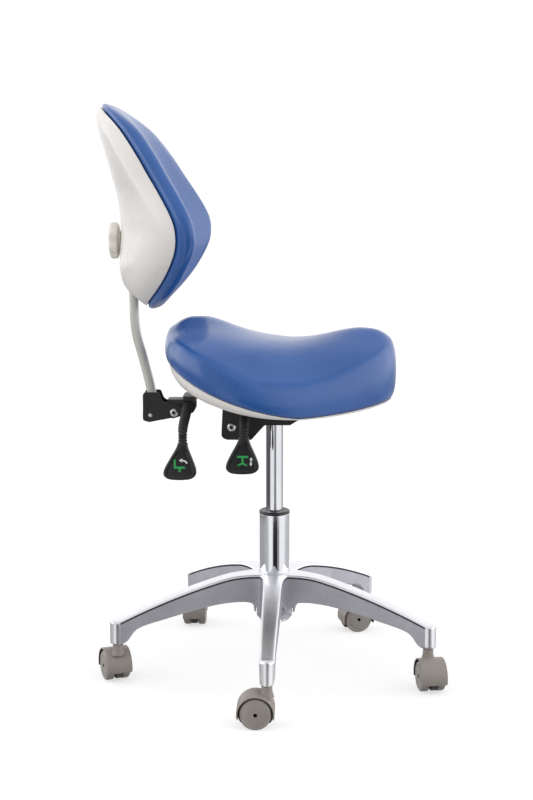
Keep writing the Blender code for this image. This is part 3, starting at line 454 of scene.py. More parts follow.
def leg_mesh():
    """One leg along +X: a polished crowned top, a groove under its edge coloured near-black as painted shade, cast side
    walls, and a solid tip over the castor.
    """
    stations = [18, 22, 26, 30, 33, 36, 39, 42, 45, 49, 54, 60] + list(range(67, 236, 7)) + [238, 241, 243, 245, 247, 250, 253, 256, 259, 262, 265] + [268.0 + 12.0 * math.sin(math.radians(t)) for t in (0, 10, 20, 30, 39, 48, 56, 63, 70, 76, 81, 85, 88)]
    rings = []
    for r in stations:
        w, top, foot = LEG_HALF(r), leg_top(r), LEG_FOOT(r)
        narrow = math.sqrt(max(1.0 - ((max(r, 268.0) - 268.0) / 12.0) ** 2, 0.001))
        taper = 1.0 * step(246, 268, r)
        deep = 1.3 * (1 - step(256, 266, r)) * step(33, 47, r)
        tongue = r < 243.5
        roof = top - 5.0 if tongue else foot + 0.9
        side = top - 7.0 if tongue else foot + 0.7
        half = [
            (0.0, top + 0.55), (w * 0.35, top + 0.48), (w * 0.68, top + 0.28), (w - 3.0, top), (w - 1.5, top - 0.5), (w - 0.5, top - 1.4), (w - 0.05, top - 2.4),
            (w - deep * 0.7, top - 2.7), (w - deep, top - 3.1), (w - deep, top - 4.9), (w - deep * 0.7, top - 5.3), (w - 0.1 - taper * 0.1, top - 5.6), (w - 0.1 - taper * 0.12, top - 6.4),
            (w - taper * 0.5, (top * 0.5 + foot * 0.5)), (w - taper * 0.85, foot + 3.8), (w - taper * 0.9, foot + 3.0), (w - 0.25 - taper, foot + 1.3), (w - 0.9 - taper, foot + 0.35), (w - 1.9 - taper, foot),
            (max(w - 3.2 - taper, 0.6), foot + 0.05), (max(w - 3.7 - taper, 0.5), foot + 0.7), (max(w - 4.0 - taper, 0.4), side), (max(w - 6.0 - taper, 0.3), roof), (0.0, roof)]
        half = [(y * narrow, z) for y, z in half]
        rings.append([(r, y, z) for y, z in half] + [(r, -y, z) for y, z in half[-2:0:-1]])
    n = len(rings[0])

    def mark(k, i):
        if i < 0:
            return 0
        i = min(i, n - 1 - i)
        if stations[min(k, len(stations) - 1)] > 262:
            return 0
        # the groove faces under the top edge take the near-black painted shade
        return 0 if i < 6 else (2 if i < 11 else 1)

    return loft(rings, marks=mark, world=False)


leg = leg_mesh()
hub = turned(
    [(25.3, 166.0), (25.3, 169.6), (25.9, 170.3), (27.0, 170.6), (29.5, 170.4), (31.6, 169.7), (33.0, 168.4), (33.6, 166.6), (33.2, 165.6), (33.2, 164.6), (33.9, 164.0), (33.6, 150.0), (31.4, 134.0), (30.3, 120.0), (29.8, 100.0), (29.6, 93.0), (29.0, 91.5), (27.8, 91.0), (26.4, 91.0), (25.5, 92.0), (25.3, 96.0)],
    # the two steps under the hub's rim are the groove, given the near-black painted shade
    96, marks=[0] * 8 + [2] * 2 + [1] * 20)
star = merged(hub, *[transformed(leg, turn=-90.0 - 1.06 + 72.0 * k) for k in range(5)])
piece("star_base_casting", star, [POLISHED, CAST, GROOVE_PAINTED_SHADE], "base", ["star_base"], sharp=42)

# ---------------------------------------------------------------- castors
STEM_RADIUS, TRAIL = 267.5, 17.0
TURNS = (180.0, 281.0, 195.0, 90.0, 114.0)


def arc_shell():
    """The hood's band round the wheels, its edges rounded, open below; its inner wall takes the black plastic as
    painted shade in the gap round the wheels.
    """
    section = [(26.9, -20.6), (27.4, -21.0), (28.5, -21.0), (29.1, -20.5), (29.2, -19.7), (29.2, 19.7), (29.1, 20.5), (28.5, 21.0), (27.4, 21.0), (26.9, 20.6), (26.9, 7.0), (26.9, 0.0), (26.9, -7.0)]
    rings = []
    first, last = -16.4, 196.4
    for k in range(73):
        a = math.radians(first + (last - first) * k / 72)
        pinch = 0.55 if k in (0, 72) else (0.12 if k in (1, 71) else 0.0)
        rings.append([((r + (28.05 - r) * pinch) * math.cos(a) + TRAIL, y * (1 - pinch * 0.03), (r + (28.05 - r) * pinch) * math.sin(a) + 24.5) for r, y in section])
    # the band's inner wall (section points 9 on) takes the black plastic as painted shade round the wheels
    return loft(rings, marks=lambda k, i: 1 if i >= 9 else 0, world=False)


def web():
    """The plate between the wheels, flat along its foot, all in black plastic as painted shade between the wheels."""
    outline = []
    for k in range(80):
        a = 2 * math.pi * k / 80
        outline.append((28.3 * math.cos(a) + TRAIL, max(28.3 * math.sin(a) + 24.5, 7.0)))
    tidy = [p for k, p in enumerate(outline) if (p[0] - outline[k - 1][0]) ** 2 + (p[1] - outline[k - 1][1]) ** 2 > 0.04]
    flat = [p for k, p in enumerate(tidy) if not (p[1] <= 7.0 and tidy[k - 1][1] <= 7.0 and tidy[(k + 1) % len(tidy)][1] <= 7.0)]
    rings = []
    for y, grow in ((-6.0, 0.97), (-5.4, 1.0), (5.4, 1.0), (6.0, 0.97)):
        rings.append([(TRAIL + (x - TRAIL) * grow, y, 24.5 + (z - 24.5) * grow) for x, z in flat])
    # the whole web takes the black plastic as painted shade between the wheels
    return loft(rings, marks=lambda k, i: 1, world=False)


neck = turned([(0, 44.0), (11.4, 47.0), (10.6, 49.2), (9.8, 51.4), (9.1, 53.8), (8.7, 56.0), (8.5, 58.0), (8.5, 63.2), (8.2, 64.1), (7.5, 64.4), (4.4, 64.4), (4.4, 60.0)], 48, world=False)
boss = turned([(0, 6.0), (5.4, 6.0), (5.4, 7.4), (5.0, 7.8), (0, 7.8)], 32, at=(TRAIL, 0, 24.5), axis="Y", world=False)
hood = merged(arc_shell(), web(), neck)
TYRE = [(3.1, 6.6), (20.6, 6.6), (22.6, 6.7), (23.8, 7.3), (24.4, 8.4), (24.5, 9.8), (24.5, 16.2), (24.35, 17.4), (23.95, 18.4), (23.4, 19.0), (22.9, 19.2)]
FACE = [(22.9, 19.2), (22.5, 19.4), (22.1, 19.9), (21.6, 20.2), (20.9, 20.3), (20.5, 20.15), (20.2, 19.9), (19.8, 19.8), (19.4, 19.95), (19.0, 20.1), (14.0, 20.4), (6.0, 20.6), (0, 20.63)]
wheel = turned(TYRE + FACE, 72, axis="Y", marks=[0] * (len(TYRE)) + [1] * len(FACE), world=False)
far_wheel = turned([(r, -h) for r, h in TYRE + FACE], 72, axis="Y", marks=[0] * (len(TYRE)) + [1] * len(FACE), world=False)
for k in range(5):
    n = k + 1
    a = math.radians(-90.0 - 1.06 + 72.0 * k)
    sx, sy = STEM_RADIUS * math.cos(a), STEM_RADIUS * math.sin(a)
    t = math.radians(TURNS[k])
    # the hood's second material, black plastic, is painted shade on the band's inner wall and the web between the
    # wheels
    piece(f"castor_{n}_hood", transformed(hood, sx, sy, 0.0, TURNS[k]), [SLATE, BLACK_MOULD_AND_SHADE], f"castor_{n}", [f"castor_hood_{n}"], sharp=34)
    wx, wy = sx + TRAIL * math.cos(t), sy + TRAIL * math.sin(t)
    for word, mesh in (("left", wheel), ("right", far_wheel)):
        piece(f"castor_{n}_{word}_tyre_and_disc", transformed(mesh, wx, wy, 24.5, TURNS[k]), [TREAD, DISC], f"castor_{n}_{word}_wheel", [f"castor_wheel_{n}_{word}"], sharp=50)
    stem = turned([(0, 34), (3.9, 34), (3.9, 64.6), (6.6, 64.8), (7.2, 65.1), (7.2, 65.9), (6.8, 66.2), (5.6, 66.3), (5.6, 90.4), (0, 90.6)], 40, at=(sx, sy, 0))
    piece(f"castor_{n}_stem", stem, ZINC, "base", [f"castor_stem_{n}"], sharp=35)

# ---------------------------------------------------------------- gas lift
piece("lift_tube", turned([(24.2, 269.0), (24.7, 268.9), (25.0, 268.5), (25.0, 268.2), (25.0, 87.0), (25.0, 86.6), (24.5, 86.0), (6.0, 86.0), (6.0, 88.0), (23.2, 88.0), (23.2, 269.0)], 96), CHROME, "base", ["lift_outer_tube"], sharp=35)
piece("lift_bush", turned([(14.3, 244), (23.0, 244), (23.0, 269.2), (25.2, 269.3), (25.5, 269.7), (25.5, 272.4), (25.2, 273.2), (24.5, 273.7), (23.4, 274.0), (21.9, 274.0), (21.2, 273.5), (20.4, 273.2), (18.0, 273.3), (16.4, 273.5), (15.2, 273.6), (14.5, 273.2), (14.3, 272.4)], 80), BLACK_MOULD_AND_SHADE, "base", ["lift_guide_bush"], sharp=35)
piece("lift_inner_cylinder", turned([(0, 238.2), (13.2, 238.2), (13.8, 238.8), (14.0, 239.6), (14.0, 240.0), (14.0, 423.6), (14.0, 424.0), (13.95, 426.0), (13.4, 451.4), (12.8, 452.0), (3.6, 452.0), (3.5, 448.0)], 80), CHROME, "seat", ["lift_cylinder"], sharp=35)
piece("lift_taper_socket", turned([(14.3, 422.9), (14.7, 422.5), (20.9, 422.5), (21.4, 423.0), (21.4, 424.2), (20.9, 424.7), (19.4, 425.0), (19.0, 425.6), (19.0, 451.6), (18.6, 452.0), (14.4, 452.0)], 64), ZINC, "seat", ["lift_socket"], sharp=35)

# ---------------------------------------------------------------- mechanism under the seat
HALF = 45.0
side = rounded([(-83, 465), (-86, 404), (-76, 400.5), (-37, 400.5), (-15, 425), (26, 425), (44, 436), (62, 456), (62, 465)], (0, 8, 4, 4, 6, 6, 4, 3, 0))
front_fold = [(24, 425.6), (59, 456), (59, 465), (62, 465), (62, 454.5), (27, 425.0)]
housing = merged(
    plate(side, -HALF, -HALF + 3, "Y"), plate(side, HALF - 3, HALF, "Y"),
    plate([(-83.0, -HALF + 1), (26.0, -HALF + 1), (26.0, -20.0), (20.0, -10), (20.0, 10), (26.0, 20.0), (26.0, HALF - 1), (-83.0, HALF - 1), (-83, 24), (-24, 24), (-24, -24), (-83, -24)], 425.6, 428.6),
    plate([(-83.5, 425.6), (-80.5, 425.6), (-80.5, 465), (-83.5, 465)], -HALF + 1, HALF - 1, "Y"), plate(front_fold, -HALF + 1, HALF - 1, "Y"))
piece("mechanism_case", housing, BLACK_PAINT_AND_SHADE, "seat", ["mechanism_housing"], sharp=40, bevel=0.7)


def socket_bolt(x, y, z, r, head, through, socket):
    """A button-head cap bolt lying along Y, its hex socket drawn as a round recess towards -Y and coloured black as
    painted shade, and a domed nut on the far side.
    """
    dome = [(0, 1.4), (socket * 0.98, 1.4), (socket, 0.05), (socket * 1.16, -0.05), (r * 0.62, 0.05), (r * 0.82, 0.7), (r * 0.95, 1.8), (r, head - 0.5), (r * 0.97, head), (r * 0.55, head), (r * 0.55, through - 4.6), (r, through - 4.6), (r, through - 2.0), (r * 0.8, through - 0.4), (0, through)]
    # the socket's floor and wall take the second material, black, as painted shade in the recess
    return turned(dome, 36, at=(x, y, z), axis="Y", marks=[1, 1])


bolt = socket_bolt(-69.0, -49.6, 422.0, 7.4, 4.2, 99.8, 3.0)
piece("mechanism_cross_bolt", bolt, [ZINC, BLACK_PAINT_AND_SHADE], "seat", ["mechanism_bolt"], sharp=35)

# ---------------------------------------------------------------- levers
PADDLE = curve([(-60.0, 6.0), (-59.4, 13.5), (-58.0, 19.0), (-55.5, 23.0), (-52.0, 25.6), (-48.0, 26.4), (-42.0, 25.3), (-32.0, 21.2), (-20.0, 15.4), (-10.0, 10.6), (-4.0, 8.4), (0.0, 7.6)])
THICK = curve([(-60.0, 2.6), (-58.5, 3.6), (-52, 4.15), (-44, 4.5), (-20, 5.7), (-6, 6.4), (0, 6.4)])


def paddle_piece(name, x, y, top, lean, body, nodes):
    """A flat moulded handle: a rounded teardrop with a raised rim round its face."""
    rings = []
    for k in range(49):
        dz = -60.0 * (1 - math.cos(math.pi * k / 48)) / 2
        w, t = PADDLE(dz), THICK(dz)
        cx, ring = x + lean * (-dz / 60.0), []
        for i in range(64):
            a = 2 * math.pi * i / 64
            c, s = math.cos(a), math.sin(a)
            u = math.copysign(abs(c) ** 0.55, c) * w
            v = math.copysign(abs(s) ** 0.42, s) * t
            inset = step(4.2, 6.4, w - abs(u)) * step(9.0, 14.0, w) * step(-56.5, -53.5, dz) * (1 - step(-15, -11, dz))
            v -= math.copysign(0.9 * inset, v)
            ring.append((cx + u, y + v, top + dz))
        rings.append(ring)
    return piece(name, loft(rings), BLACK_MOULD_AND_SHADE, body, nodes, sharp=50)


def lever(prefix, inner, outer_x, wall_y, wall_z, foot, lean, body):
    outer_y = -112.0
    drop = [(outer_x, wall_y - 8, wall_z - 1.5), (outer_x, wall_y - 30, wall_z - 9), (outer_x, outer_y + 10, wall_z - 20), (outer_x, outer_y, foot + 8), (outer_x, outer_y - 1.0, foot - 14)]
    path = smooth_path(inner + [(outer_x, wall_y, wall_z)] + drop, 8)
    piece(prefix + "_bent_rod", loft(swept(path, circle(3.1, 20))), ZINC, body, [prefix + "_rod"], sharp=60)
    stretch, length = [], 0.0
    fine = smooth_path(inner + [(outer_x, wall_y, wall_z)] + drop, 60)
    fine = [p for p in fine if p[1] < wall_y - 9 and p[2] > foot - 2.0]
    last = fine[0]
    stretch = [last]
    for p in fine[1:]:
        if (p - last).length >= 0.62:
            stretch.append(p)
            last = p

    def rib(k):
        wave = 0.5 + 0.5 * math.cos(2 * math.pi * k / 6.0)
        base = 6.9 - 1.1 * k / len(stretch)
        r = base + 1.6 * wave**0.8
        if k < 3 or k > len(stretch) - 4:
            r = base + 1.2
        return circle(r, 28)

    sleeve = loft(swept(stretch, rib, side=(1, 0, 0)))
    piece(prefix + "_ribbed_sleeve", sleeve, RUBBER, body, [prefix + "_sleeve"], sharp=75)
    made = paddle_piece(prefix + "_moulded_paddle", outer_x, outer_y - 0.4, foot, lean, body, [prefix + "_paddle"])
    return outer_y - 0.4


def on_face(outline, x, y, top, lean, low=0.0, high=0.28):
    """A flat mark on the paddle's recessed face, its outline given as (x, down) from the paddle's neck."""
    rings = []
    for proud in (low, high):
        rings.append([(x + lean * (dz / 60.0) + a, y - (THICK(-dz) - 0.9) - proud, top - dz) for a, dz in outline])
    return loft(rings)


def marks(prefix, x, y, top, lean, body, kind):
    """A plain generic mark: a green seat outline with a white arrow."""
    if kind == "height":
        green = [
            [(-9, 29.5), (7, 29.5), (9, 31.0), (9, 33.0), (-9, 33.0)],
            [(-1.6, 33.0), (1.6, 33.0), (1.6, 41.0), (-1.6, 41.0)],
            [(-8, 44.5), (-1.6, 41.0), (1.6, 41.0), (8, 44.5), (6.5, 46.5), (0, 43.6), (-6.5, 46.5)],
        ]
        white = [[(10.6, 36.0), (13.4, 31.6), (16.2, 36.0), (14.4, 36.0), (14.4, 42.0), (16.2, 42.0), (13.4, 46.4), (10.6, 42.0), (12.4, 42.0), (12.4, 36.0)]]
    else:
        green = [
            [(-10, 37.5), (6, 37.5), (8, 39.2), (8, 41.0), (-10, 41.0)],
            [(-11.5, 26.0), (-8.6, 26.0), (-7.0, 37.5), (-10.2, 37.5)],
            [(-2.2, 41.0), (1.2, 41.0), (1.2, 46.5), (-2.2, 46.5)],
        ]
        white = [[(-3.0, 27.5), (2.0, 24.0), (2.0, 26.2), (7.5, 27.6), (11.5, 31.5), (9.4, 33.0), (6.2, 29.8), (2.0, 28.8), (2.0, 31.0)]]
    piece(prefix + "_mark_seat", merged(*[on_face(o, x, y, top, lean) for o in green]), GREEN, body, sharp=30)
    piece(prefix + "_mark_arrow", merged(*[on_face(o, x, y, top, lean) for o in white]), WHITE, body, sharp=30)


ly = lever("height_lever", [(2.5, 0.0, 460.9), (-12.0, -2.0, 460.9), (-32.0, -16.0, 460.2), (-45.0, -32.0, 457.6)], -46.0, -43.5, 455.5, 418.0, -3.0, "height_lever")
marks("height_lever", -46.0, ly, 418.0, -3.0, "height_lever", "height")
ly = lever("back_lever", [(-143.0, -16.3, 452.0)], -143.0, -21.5, 452.0, 408.0, -6.0, "back_lever")
marks("back_lever", -143.0, ly, 408.0, -6.0, "back_lever", "tilt")

# ---------------------------------------------------------------- back support
mount_side = rounded([(-176, 462), (-176, 434), (-168, 430), (-134, 440), (-130, 446), (-130, 462)], (0, 5, 5, 4, 3, 0))
mount = merged(
    plate(mount_side, 11.8, 14.8, "Y"), plate(mount_side, -14.8, -11.8, "Y"),
    plate([(-150.0, -23.0), (-130.0, -23.0), (-130.0, 23.0), (-150.0, 23.0)], 459.0, 465.0), plate([(-176.0, -14.0), (-130.0, -14.0), (-130.0, 14.0), (-176.0, 14.0)], 459.2, 462.0),
    plate(rounded([(-150.0, 462.0), (-150.0, 444.0), (-134.0, 444.0), (-134.0, 462.0)], (0, 5, 5, 0)), -23.0, -20.0, "Y"))
piece("back_mount_welded", mount, BLACK_PAINT_AND_SHADE, "seat", ["back_mount"], sharp=40, bevel=0.6)
bracket_side = rounded([(-216, 474), (-217, 427), (-206, 424.5), (-157, 434), (-151.5, 440), (-153, 453), (-184, 458), (-190, 474)], (4, 6, 4, 6, 5, 7, 10, 4))
bracket = merged(
    plate(bracket_side, 15.3, 18.3, "Y"), plate(bracket_side, -18.3, -15.3, "Y"),
    plate([(-216.8, 470), (-216.8, 427.5), (-214.0, 427.5), (-214.0, 470)], -16, 16, "Y"),
    plate([(-216, 428), (-206, 426), (-188, 429.4), (-188, 432.4), (-206, 429), (-216, 431)], -16, 16, "Y"))
piece("back_bracket_pressed", bracket, BLACK_PAINT_AND_SHADE, "back_support", ["back_bracket"], sharp=40, bevel=0.7)
piece("back_pivot_screw", socket_bolt(-165.0, -23.4, 441.0, 7.0, 4.7, 46.8, 2.8), [ZINC, BLACK_PAINT_AND_SHADE], "seat", ["back_pivot_bolt"], sharp=35)
rivet = turned([(0, 0), (1.8, 0.25), (3.0, 0.9), (3.6, 2.0), (3.6, 3.6), (0, 3.6)], 28, at=(-204.0, -20.6, 436.0), axis="Y")
piece("back_bracket_rivet", rivet, ZINC, "back_support", (), sharp=40)


def arm_x(z):
    return -234.0 - 0.028 * (z - 737.0)


arm_path = smooth_path([(-199.0, 0.0, 436.0), (-201.0, 0.0, 460.0), (-207.5, 0.0, 492.0), (-217.5, 0.0, 532.0), (-226.5, 0.0, 566.0), (arm_x(596), 0.0, 596.0), (arm_x(625), 0.0, 625.0), (arm_x(680), 0.0, 680.0), (arm_x(743.6), 0.0, 743.6)], 12)
oval = [(7.4 * math.copysign(abs(math.cos(t)) ** 0.8, math.cos(t)), 14.8 * math.copysign(abs(math.sin(t)) ** 0.8, math.sin(t))) for t in (2 * math.pi * i / 64 for i in range(64))]
rings = []
for k, p in enumerate(arm_path):
    along = (arm_path[min(k + 1, len(arm_path) - 1)] - arm_path[max(k - 1, 0)]).normalized()
    up = Vector((0, 1, 0)).cross(along).normalized()
    rings.append([tuple(p + up * u + Vector((0, v, 0))) for u, v in oval])
piece("back_arm_tube", loft(rings), ARM_PAINT, "back_support", ["back_arm"], sharp=60)

# ---------------------------------------------------------------- padded forms


def disk(n):
    """A square grid drawn in to a round one: points (x, y) in the unit disk, faces, and the rim's points in order."""
    points, faces = [], []
    for j in range(n + 1):
        for i in range(n + 1):
            u, v = -1 + 2 * i / n, -1 + 2 * j / n
            points.append((u * math.sqrt(1 - v * v / 2), v * math.sqrt(1 - u * u / 2)))
    at = lambda i, j: j * (n + 1) + i
    for j in range(n):
        for i in range(n):
            faces.append((at(i, j), at(i + 1, j), at(i + 1, j + 1), at(i, j + 1)))
    rim = [at(i, 0) for i in range(n)] + [at(n, j) for j in range(n)] + [at(i, n) for i in range(n, 0, -1)] + [at(0, j) for j in range(n, 0, -1)]
    return points, faces, rim


def capped_form(n, top, sides, bottom):
    """A closed form: a grid for its top, rings down its side, and a grid for its underside. Each is a function of (reach, angle)."""
    grid, quads, rim = disk(n)
    points, faces = [], []
    for x, y in grid:
        points.append(top(math.hypot(x, y), math.atan2(y, x)))
    faces += quads
    angles = [math.atan2(grid[i][1], grid[i][0]) for i in rim]
    last = list(rim)
    for row in sides:
        now = list(range(len(points), len(points) + len(rim)))
        points += [row(a) for a in angles]
        for k in range(len(rim)):
            j = (k + 1) % len(rim)
            faces.append((last[k], now[k], now[j], last[j]))
        last = now
    start = len(points)
    index = {}
    for k, i in enumerate(rim):
        index[i] = last[k]
    for i, (x, y) in enumerate(grid):
        if i not in index:
            index[i] = len(points)
            points.append(bottom(math.hypot(x, y), math.atan2(y, x)))
    faces += [tuple(index[i] for i in reversed(q)) for q in quads]
    return points, faces


def inflated(mesh, held, cap, pressure=4.0, frames=20, soften=12):
    """The mesh blown up as cloth under pressure, with gravity off, held points kept, and no point moved further than cap mm."""
    made = bpy.data.objects.new("form", mesh)
    scene.collection.objects.link(made)
    group = made.vertex_groups.new(name="held")
    start = [v.co.copy() for v in mesh.vertices]
    normals = [v.normal.copy() for v in mesh.vertices]
    fixed = [held(co * 1000 - Vector((CX, CY, 0)), n) for co, n in zip(start, normals)]
    for k, w in enumerate(fixed):
        if w > 0:
            group.add([k], w, "REPLACE")
    cloth = made.modifiers.new("cloth", "CLOTH")
    settings = cloth.settings
    settings.quality, settings.mass, settings.air_damping = 6, 0.35, 3.0
    settings.tension_stiffness = settings.compression_stiffness = 22.0
    settings.shear_stiffness, settings.bending_stiffness = 12.0, 1.5
    settings.use_pressure, settings.uniform_pressure_force = True, pressure
    settings.vertex_group_mass, settings.pin_stiffness = "held", 1.0
    settings.effector_weights.gravity = 0.0
    cloth.collision_settings.use_collision = False
    cloth.collision_settings.use_self_collision = False
    cloth.point_cache.frame_start, cloth.point_cache.frame_end = 1, frames
    for f in range(1, frames + 1):
        scene.frame_set(f)
    seen = made.evaluated_get(bpy.context.evaluated_depsgraph_get()).to_mesh()
    shift = [v.co - s for v, s in zip(seen.vertices, start)]
    made.evaluated_get(bpy.context.evaluated_depsgraph_get()).to_mesh_clear()
    near = [[] for _ in start]
    for edge in mesh.edges:
        a, b = edge.vertices
        near[a].append(b)
        near[b].append(a)
    limit = cap / 1000
    shift = [s if s.length <= limit else s * (limit / s.length) for s in shift]
    for _ in range(soften):
        shift = [Vector((0, 0, 0)) if fixed[k] >= 1.0 else (shift[k] + sum((shift[j] for j in near[k]), Vector((0, 0, 0))) / max(1, len(near[k]))) / 2 for k in range(len(shift))]
    out = mesh.copy()
    for v, s, d in zip(out.vertices, start, shift):
        v.co = s + d
    bpy.data.objects.remove(made, do_unlink=True)
    scene.frame_set(1)
    out.update()
    return out


# ---------------------------------------------------------------- seat
MID_X, HALF_X, UNDER = 11.0, 188.0, 486.8
CREST = curve([(-178, 541), (-174, 562), (-166, 581), (-152, 592), (-134, 597.5), (-111, 596.5), (-85, 588), (-62, 577.5), (-32, 566), (-3, 560), (27, 557.5), (56, 560), (84, 566), (114, 573.5), (143, 578), (162, 577.5), (180, 571), (190, 561), (199, 541)])
DROOP = curve([(-178, 6), (-150, 30), (-100, 50), (0, 52), (100, 56), (160, 46), (199, 8)])


def seat_edge(angle):
    c, s = math.cos(angle), math.sin(angle)
    return MID_X + HALF_X * c, math.copysign(abs(s) ** 0.8, s) * (176.0 - 58.0 * c)


def pan_low(x):
    return 451.0 + (0.00095 if x < 55.0 else 0.0005) * (x - 55.0) ** 2


def skirt_low(x):
    return pan_low(x) + 4.0 + (0.12 * (40.0 - x) if x < 40 else 0.02 * (x - 40.0))


def seat_at(scale, angle):
    ex, ey = seat_edge(angle)
    return MID_X + (ex - MID_X) * scale, ey * scale


def seat_top(reach, angle, edge=0.925):
    x, y = seat_at(reach * edge, angle)
    side = y * y / (y * y + 1500.0)
    return x, y, CREST(x) - DROOP(x) * (reach * edge) ** 2.2 * side


def seat_side(scale, part):
    def row(angle):
        x, y = seat_at(scale, angle)
        low = skirt_low(seat_edge(angle)[0])
        high = seat_top(1.0, angle)[2]
        return x, y, low + (high - low) * part
    return row


def seat_under(reach, angle):
    scale = reach * 0.895
    x, y = seat_at(scale, angle)
    ex = seat_edge(angle)[0]
    edge = max(UNDER, skirt_low(ex) + 3.0) * step(0.80, 0.895, scale) + max(UNDER, pan_low(ex) + 4.2) * (1 - step(0.80, 0.895, scale)) * step(0.66, 0.80, scale) + UNDER * (1 - step(0.66, 0.80, scale))
    return x, y, max(edge, UNDER)


seat_rows = [seat_side(s, p) for s, p in ((0.948, 0.965), (0.967, 0.905), (0.982, 0.82), (0.992, 0.71), (0.998, 0.58), (1.0, 0.44), (0.999, 0.31), (0.995, 0.19), (0.987, 0.095), (0.975, 0.03), (0.958, 0.0), (0.935, 0.004), (0.915, 0.03))]
points, faces = capped_form(40, seat_top, seat_rows, seat_under)
seat_mesh = inflated(mesh_of(points, faces), lambda p, n: 1.0 if n.z < -0.35 or p.z < skirt_low(p.x) + 5 else 0.0, 5.0, 3.5)
seat_pad = piece("seat_cushion_padded", seat_mesh, BLUE, "seat", ["seat_cushion"], sharp=180, divide=1)


def pan_ring(angle):
    ex, ey = seat_edge(angle)
    at = lambda scale: (MID_X + (ex - MID_X) * scale, ey * scale)
    low, rim = pan_low(ex), skirt_low(ex) - 0.3
    ox, oy = at(0.62)
    ox, oy = -10 + (ox - MID_X) * 0.98, oy * 0.98
    floor = 455.0 + 0.00055 * (ox - 40.0) ** 2
    knots = [(ox, oy, floor), (*at(0.72), max(low, floor) * 0.5 + floor * 0.5), (*at(0.80), max(low, floor - 0.5)), (*at(0.86), low + 0.2), (*at(0.905), low + 0.8), (*at(0.94), low + (rim - low) * 0.35), (*at(0.958), low + (rim - low) * 0.62), (*at(0.966), rim - 1.0)]
    outer = [tuple(p) for p in smooth_path(knots, 3)] + [(*at(0.966), rim - 0.3), (*at(0.962), rim), (*at(0.950), rim)]
    inner = [(*at(0.945), rim - 0.6), (*at(0.925), max(low + 3.4, rim - 2.0)), (*at(0.885), low + 3.2), (*at(0.79), max(low, floor - 0.5) + 2.6), (ox, oy, floor + 2.4)]
    return outer + inner


piece("seat_pan_moulded", loft([pan_ring(2 * math.pi * (i + 0.5) / 144) for i in range(144)], closed=True), IVORY, "seat", ["seat_pan"], sharp=50)

# ---------------------------------------------------------------- backrest
LINE = curve([(596, -209.3), (617, -208.6), (650, -207.5), (700, -211), (735, -216.4), (750, -219), (800, -230), (850, -245), (900, -263), (927, -275), (950, -286)])
REAR = curve([(600, -214), (610, -218), (618, -225), (630, -236), (641, -247.6), (657, -254), (678, -255), (708, -251), (737, -248.6), (761, -250), (797, -255), (827, -262.6), (865, -273), (904, -283.6), (919, -286), (940, -290)])
POLAR = [(-90, 155.0), (-72.4, 156.5), (-51, 164.0), (-36.5, 173.0), (-23, 183.0), (-13.4, 188.5), (-6.4, 187.0), (0.3, 179.0), (10.6, 167.5), (22.7, 161.0), (37.4, 163.0), (50, 167.0), (62.6, 166.0), (74.1, 164.0), (90, 162.5)]
REACH = curve([(math.radians(a), r) for a, r in POLAR])
MID_Z = 772.0


def softened(count=720):
    """The outline's reach from its middle at even angles, smoothed a little so that it has no corners."""
    raw = []
    for k in range(count):
        a = 2 * math.pi * k / count
        raw.append(REACH(math.asin(max(-1.0, min(1.0, math.sin(a))))))
    for _ in range(60):
        raw = [(raw[k - 1] + 2 * raw[k] + raw[(k + 1) % count]) / 4 for k in range(count)]
    return raw


SOFT = softened()


def back_reach(angle):
    t = (angle % (2 * math.pi)) / (2 * math.pi) * len(SOFT)
    i = int(t) % len(SOFT)
    return SOFT[i] + (SOFT[(i + 1) % len(SOFT)] - SOFT[i]) * (t - int(t))


def back_at(scale, angle, grow=0.0):
    r = back_reach(angle) + grow
    return r * scale * math.cos(angle), MID_Z + r * scale * math.sin(angle)


def wrap(y, z):
    return LINE(z) + y * y / 470.0


def pad_front(reach, angle):
    y, z = back_at(reach, angle, -11.0)
    crown = 1.0 - reach**2
    return wrap(y, z) + 36.0 + 5.0 * crown, y, z


def pad_side(grow, forward):
    def row(angle):
        y, z = back_at(1.0, angle, grow)
        return wrap(y, z) + forward, y, z
    return row


def pad_rear(reach, angle):
    y, z = back_at(reach, angle, -6.0)
    return wrap(y, z) + 2.4, y, z


pad_rows = [pad_side(g, f) for g, f in ((-6.5, 34.6), (-2.6, 32.5), (0.8, 29.7), (3.5, 26.2), (5.4, 22.3), (6.6, 18.4), (7.3, 14.4), (7.3, 10.8), (6.4, 7.6), (4.6, 5.2), (2.2, 3.6), (-0.8, 2.8), (-4.0, 2.6))]
points, faces = capped_form(40, pad_front, pad_rows, pad_rear)
pad_mesh = inflated(mesh_of(points, faces), lambda p, n: 1.0 if p.x < wrap(p.y, p.z) + 3.0 else 0.0, 3.5, 3.0)
back_pad = piece("backrest_cushion_padded", pad_mesh, BLUE, "backrest", ["backrest_cushion"], sharp=180, divide=1)

DEEP = curve([(0.0, 1.0), (0.3, 0.99), (0.55, 0.95), (0.75, 0.86), (0.88, 0.70), (0.95, 0.50), (0.985, 0.28), (1.0, 0.05)])
RIDGED = curve([(0.0, 1.0), (0.5, 1.0), (0.80, 1.0), (0.90, 0.985), (0.925, 0.95), (0.94, 0.87), (0.955, 0.70), (0.975, 0.42), (0.99, 0.18), (1.0, 0.05)])


def shell_row(scale, inner=0.0):
    def row(angle):
        y, z = back_at(scale, angle)
        depth = LINE(z) - REAR(z)
        ridged = step(735, 850, z)
        share = DEEP(scale) * (1 - ridged) + RIDGED(scale) * ridged
        return wrap(y, z) - max(depth * share - inner, 0.5), y, z
    return row


def shell_cap(reach, angle):
    return shell_row(reach * 0.90)(angle)


def shell_inside(reach, angle):
    y, z = back_at(reach * 0.93, angle)
    return wrap(y, z) - 0.6, y, z


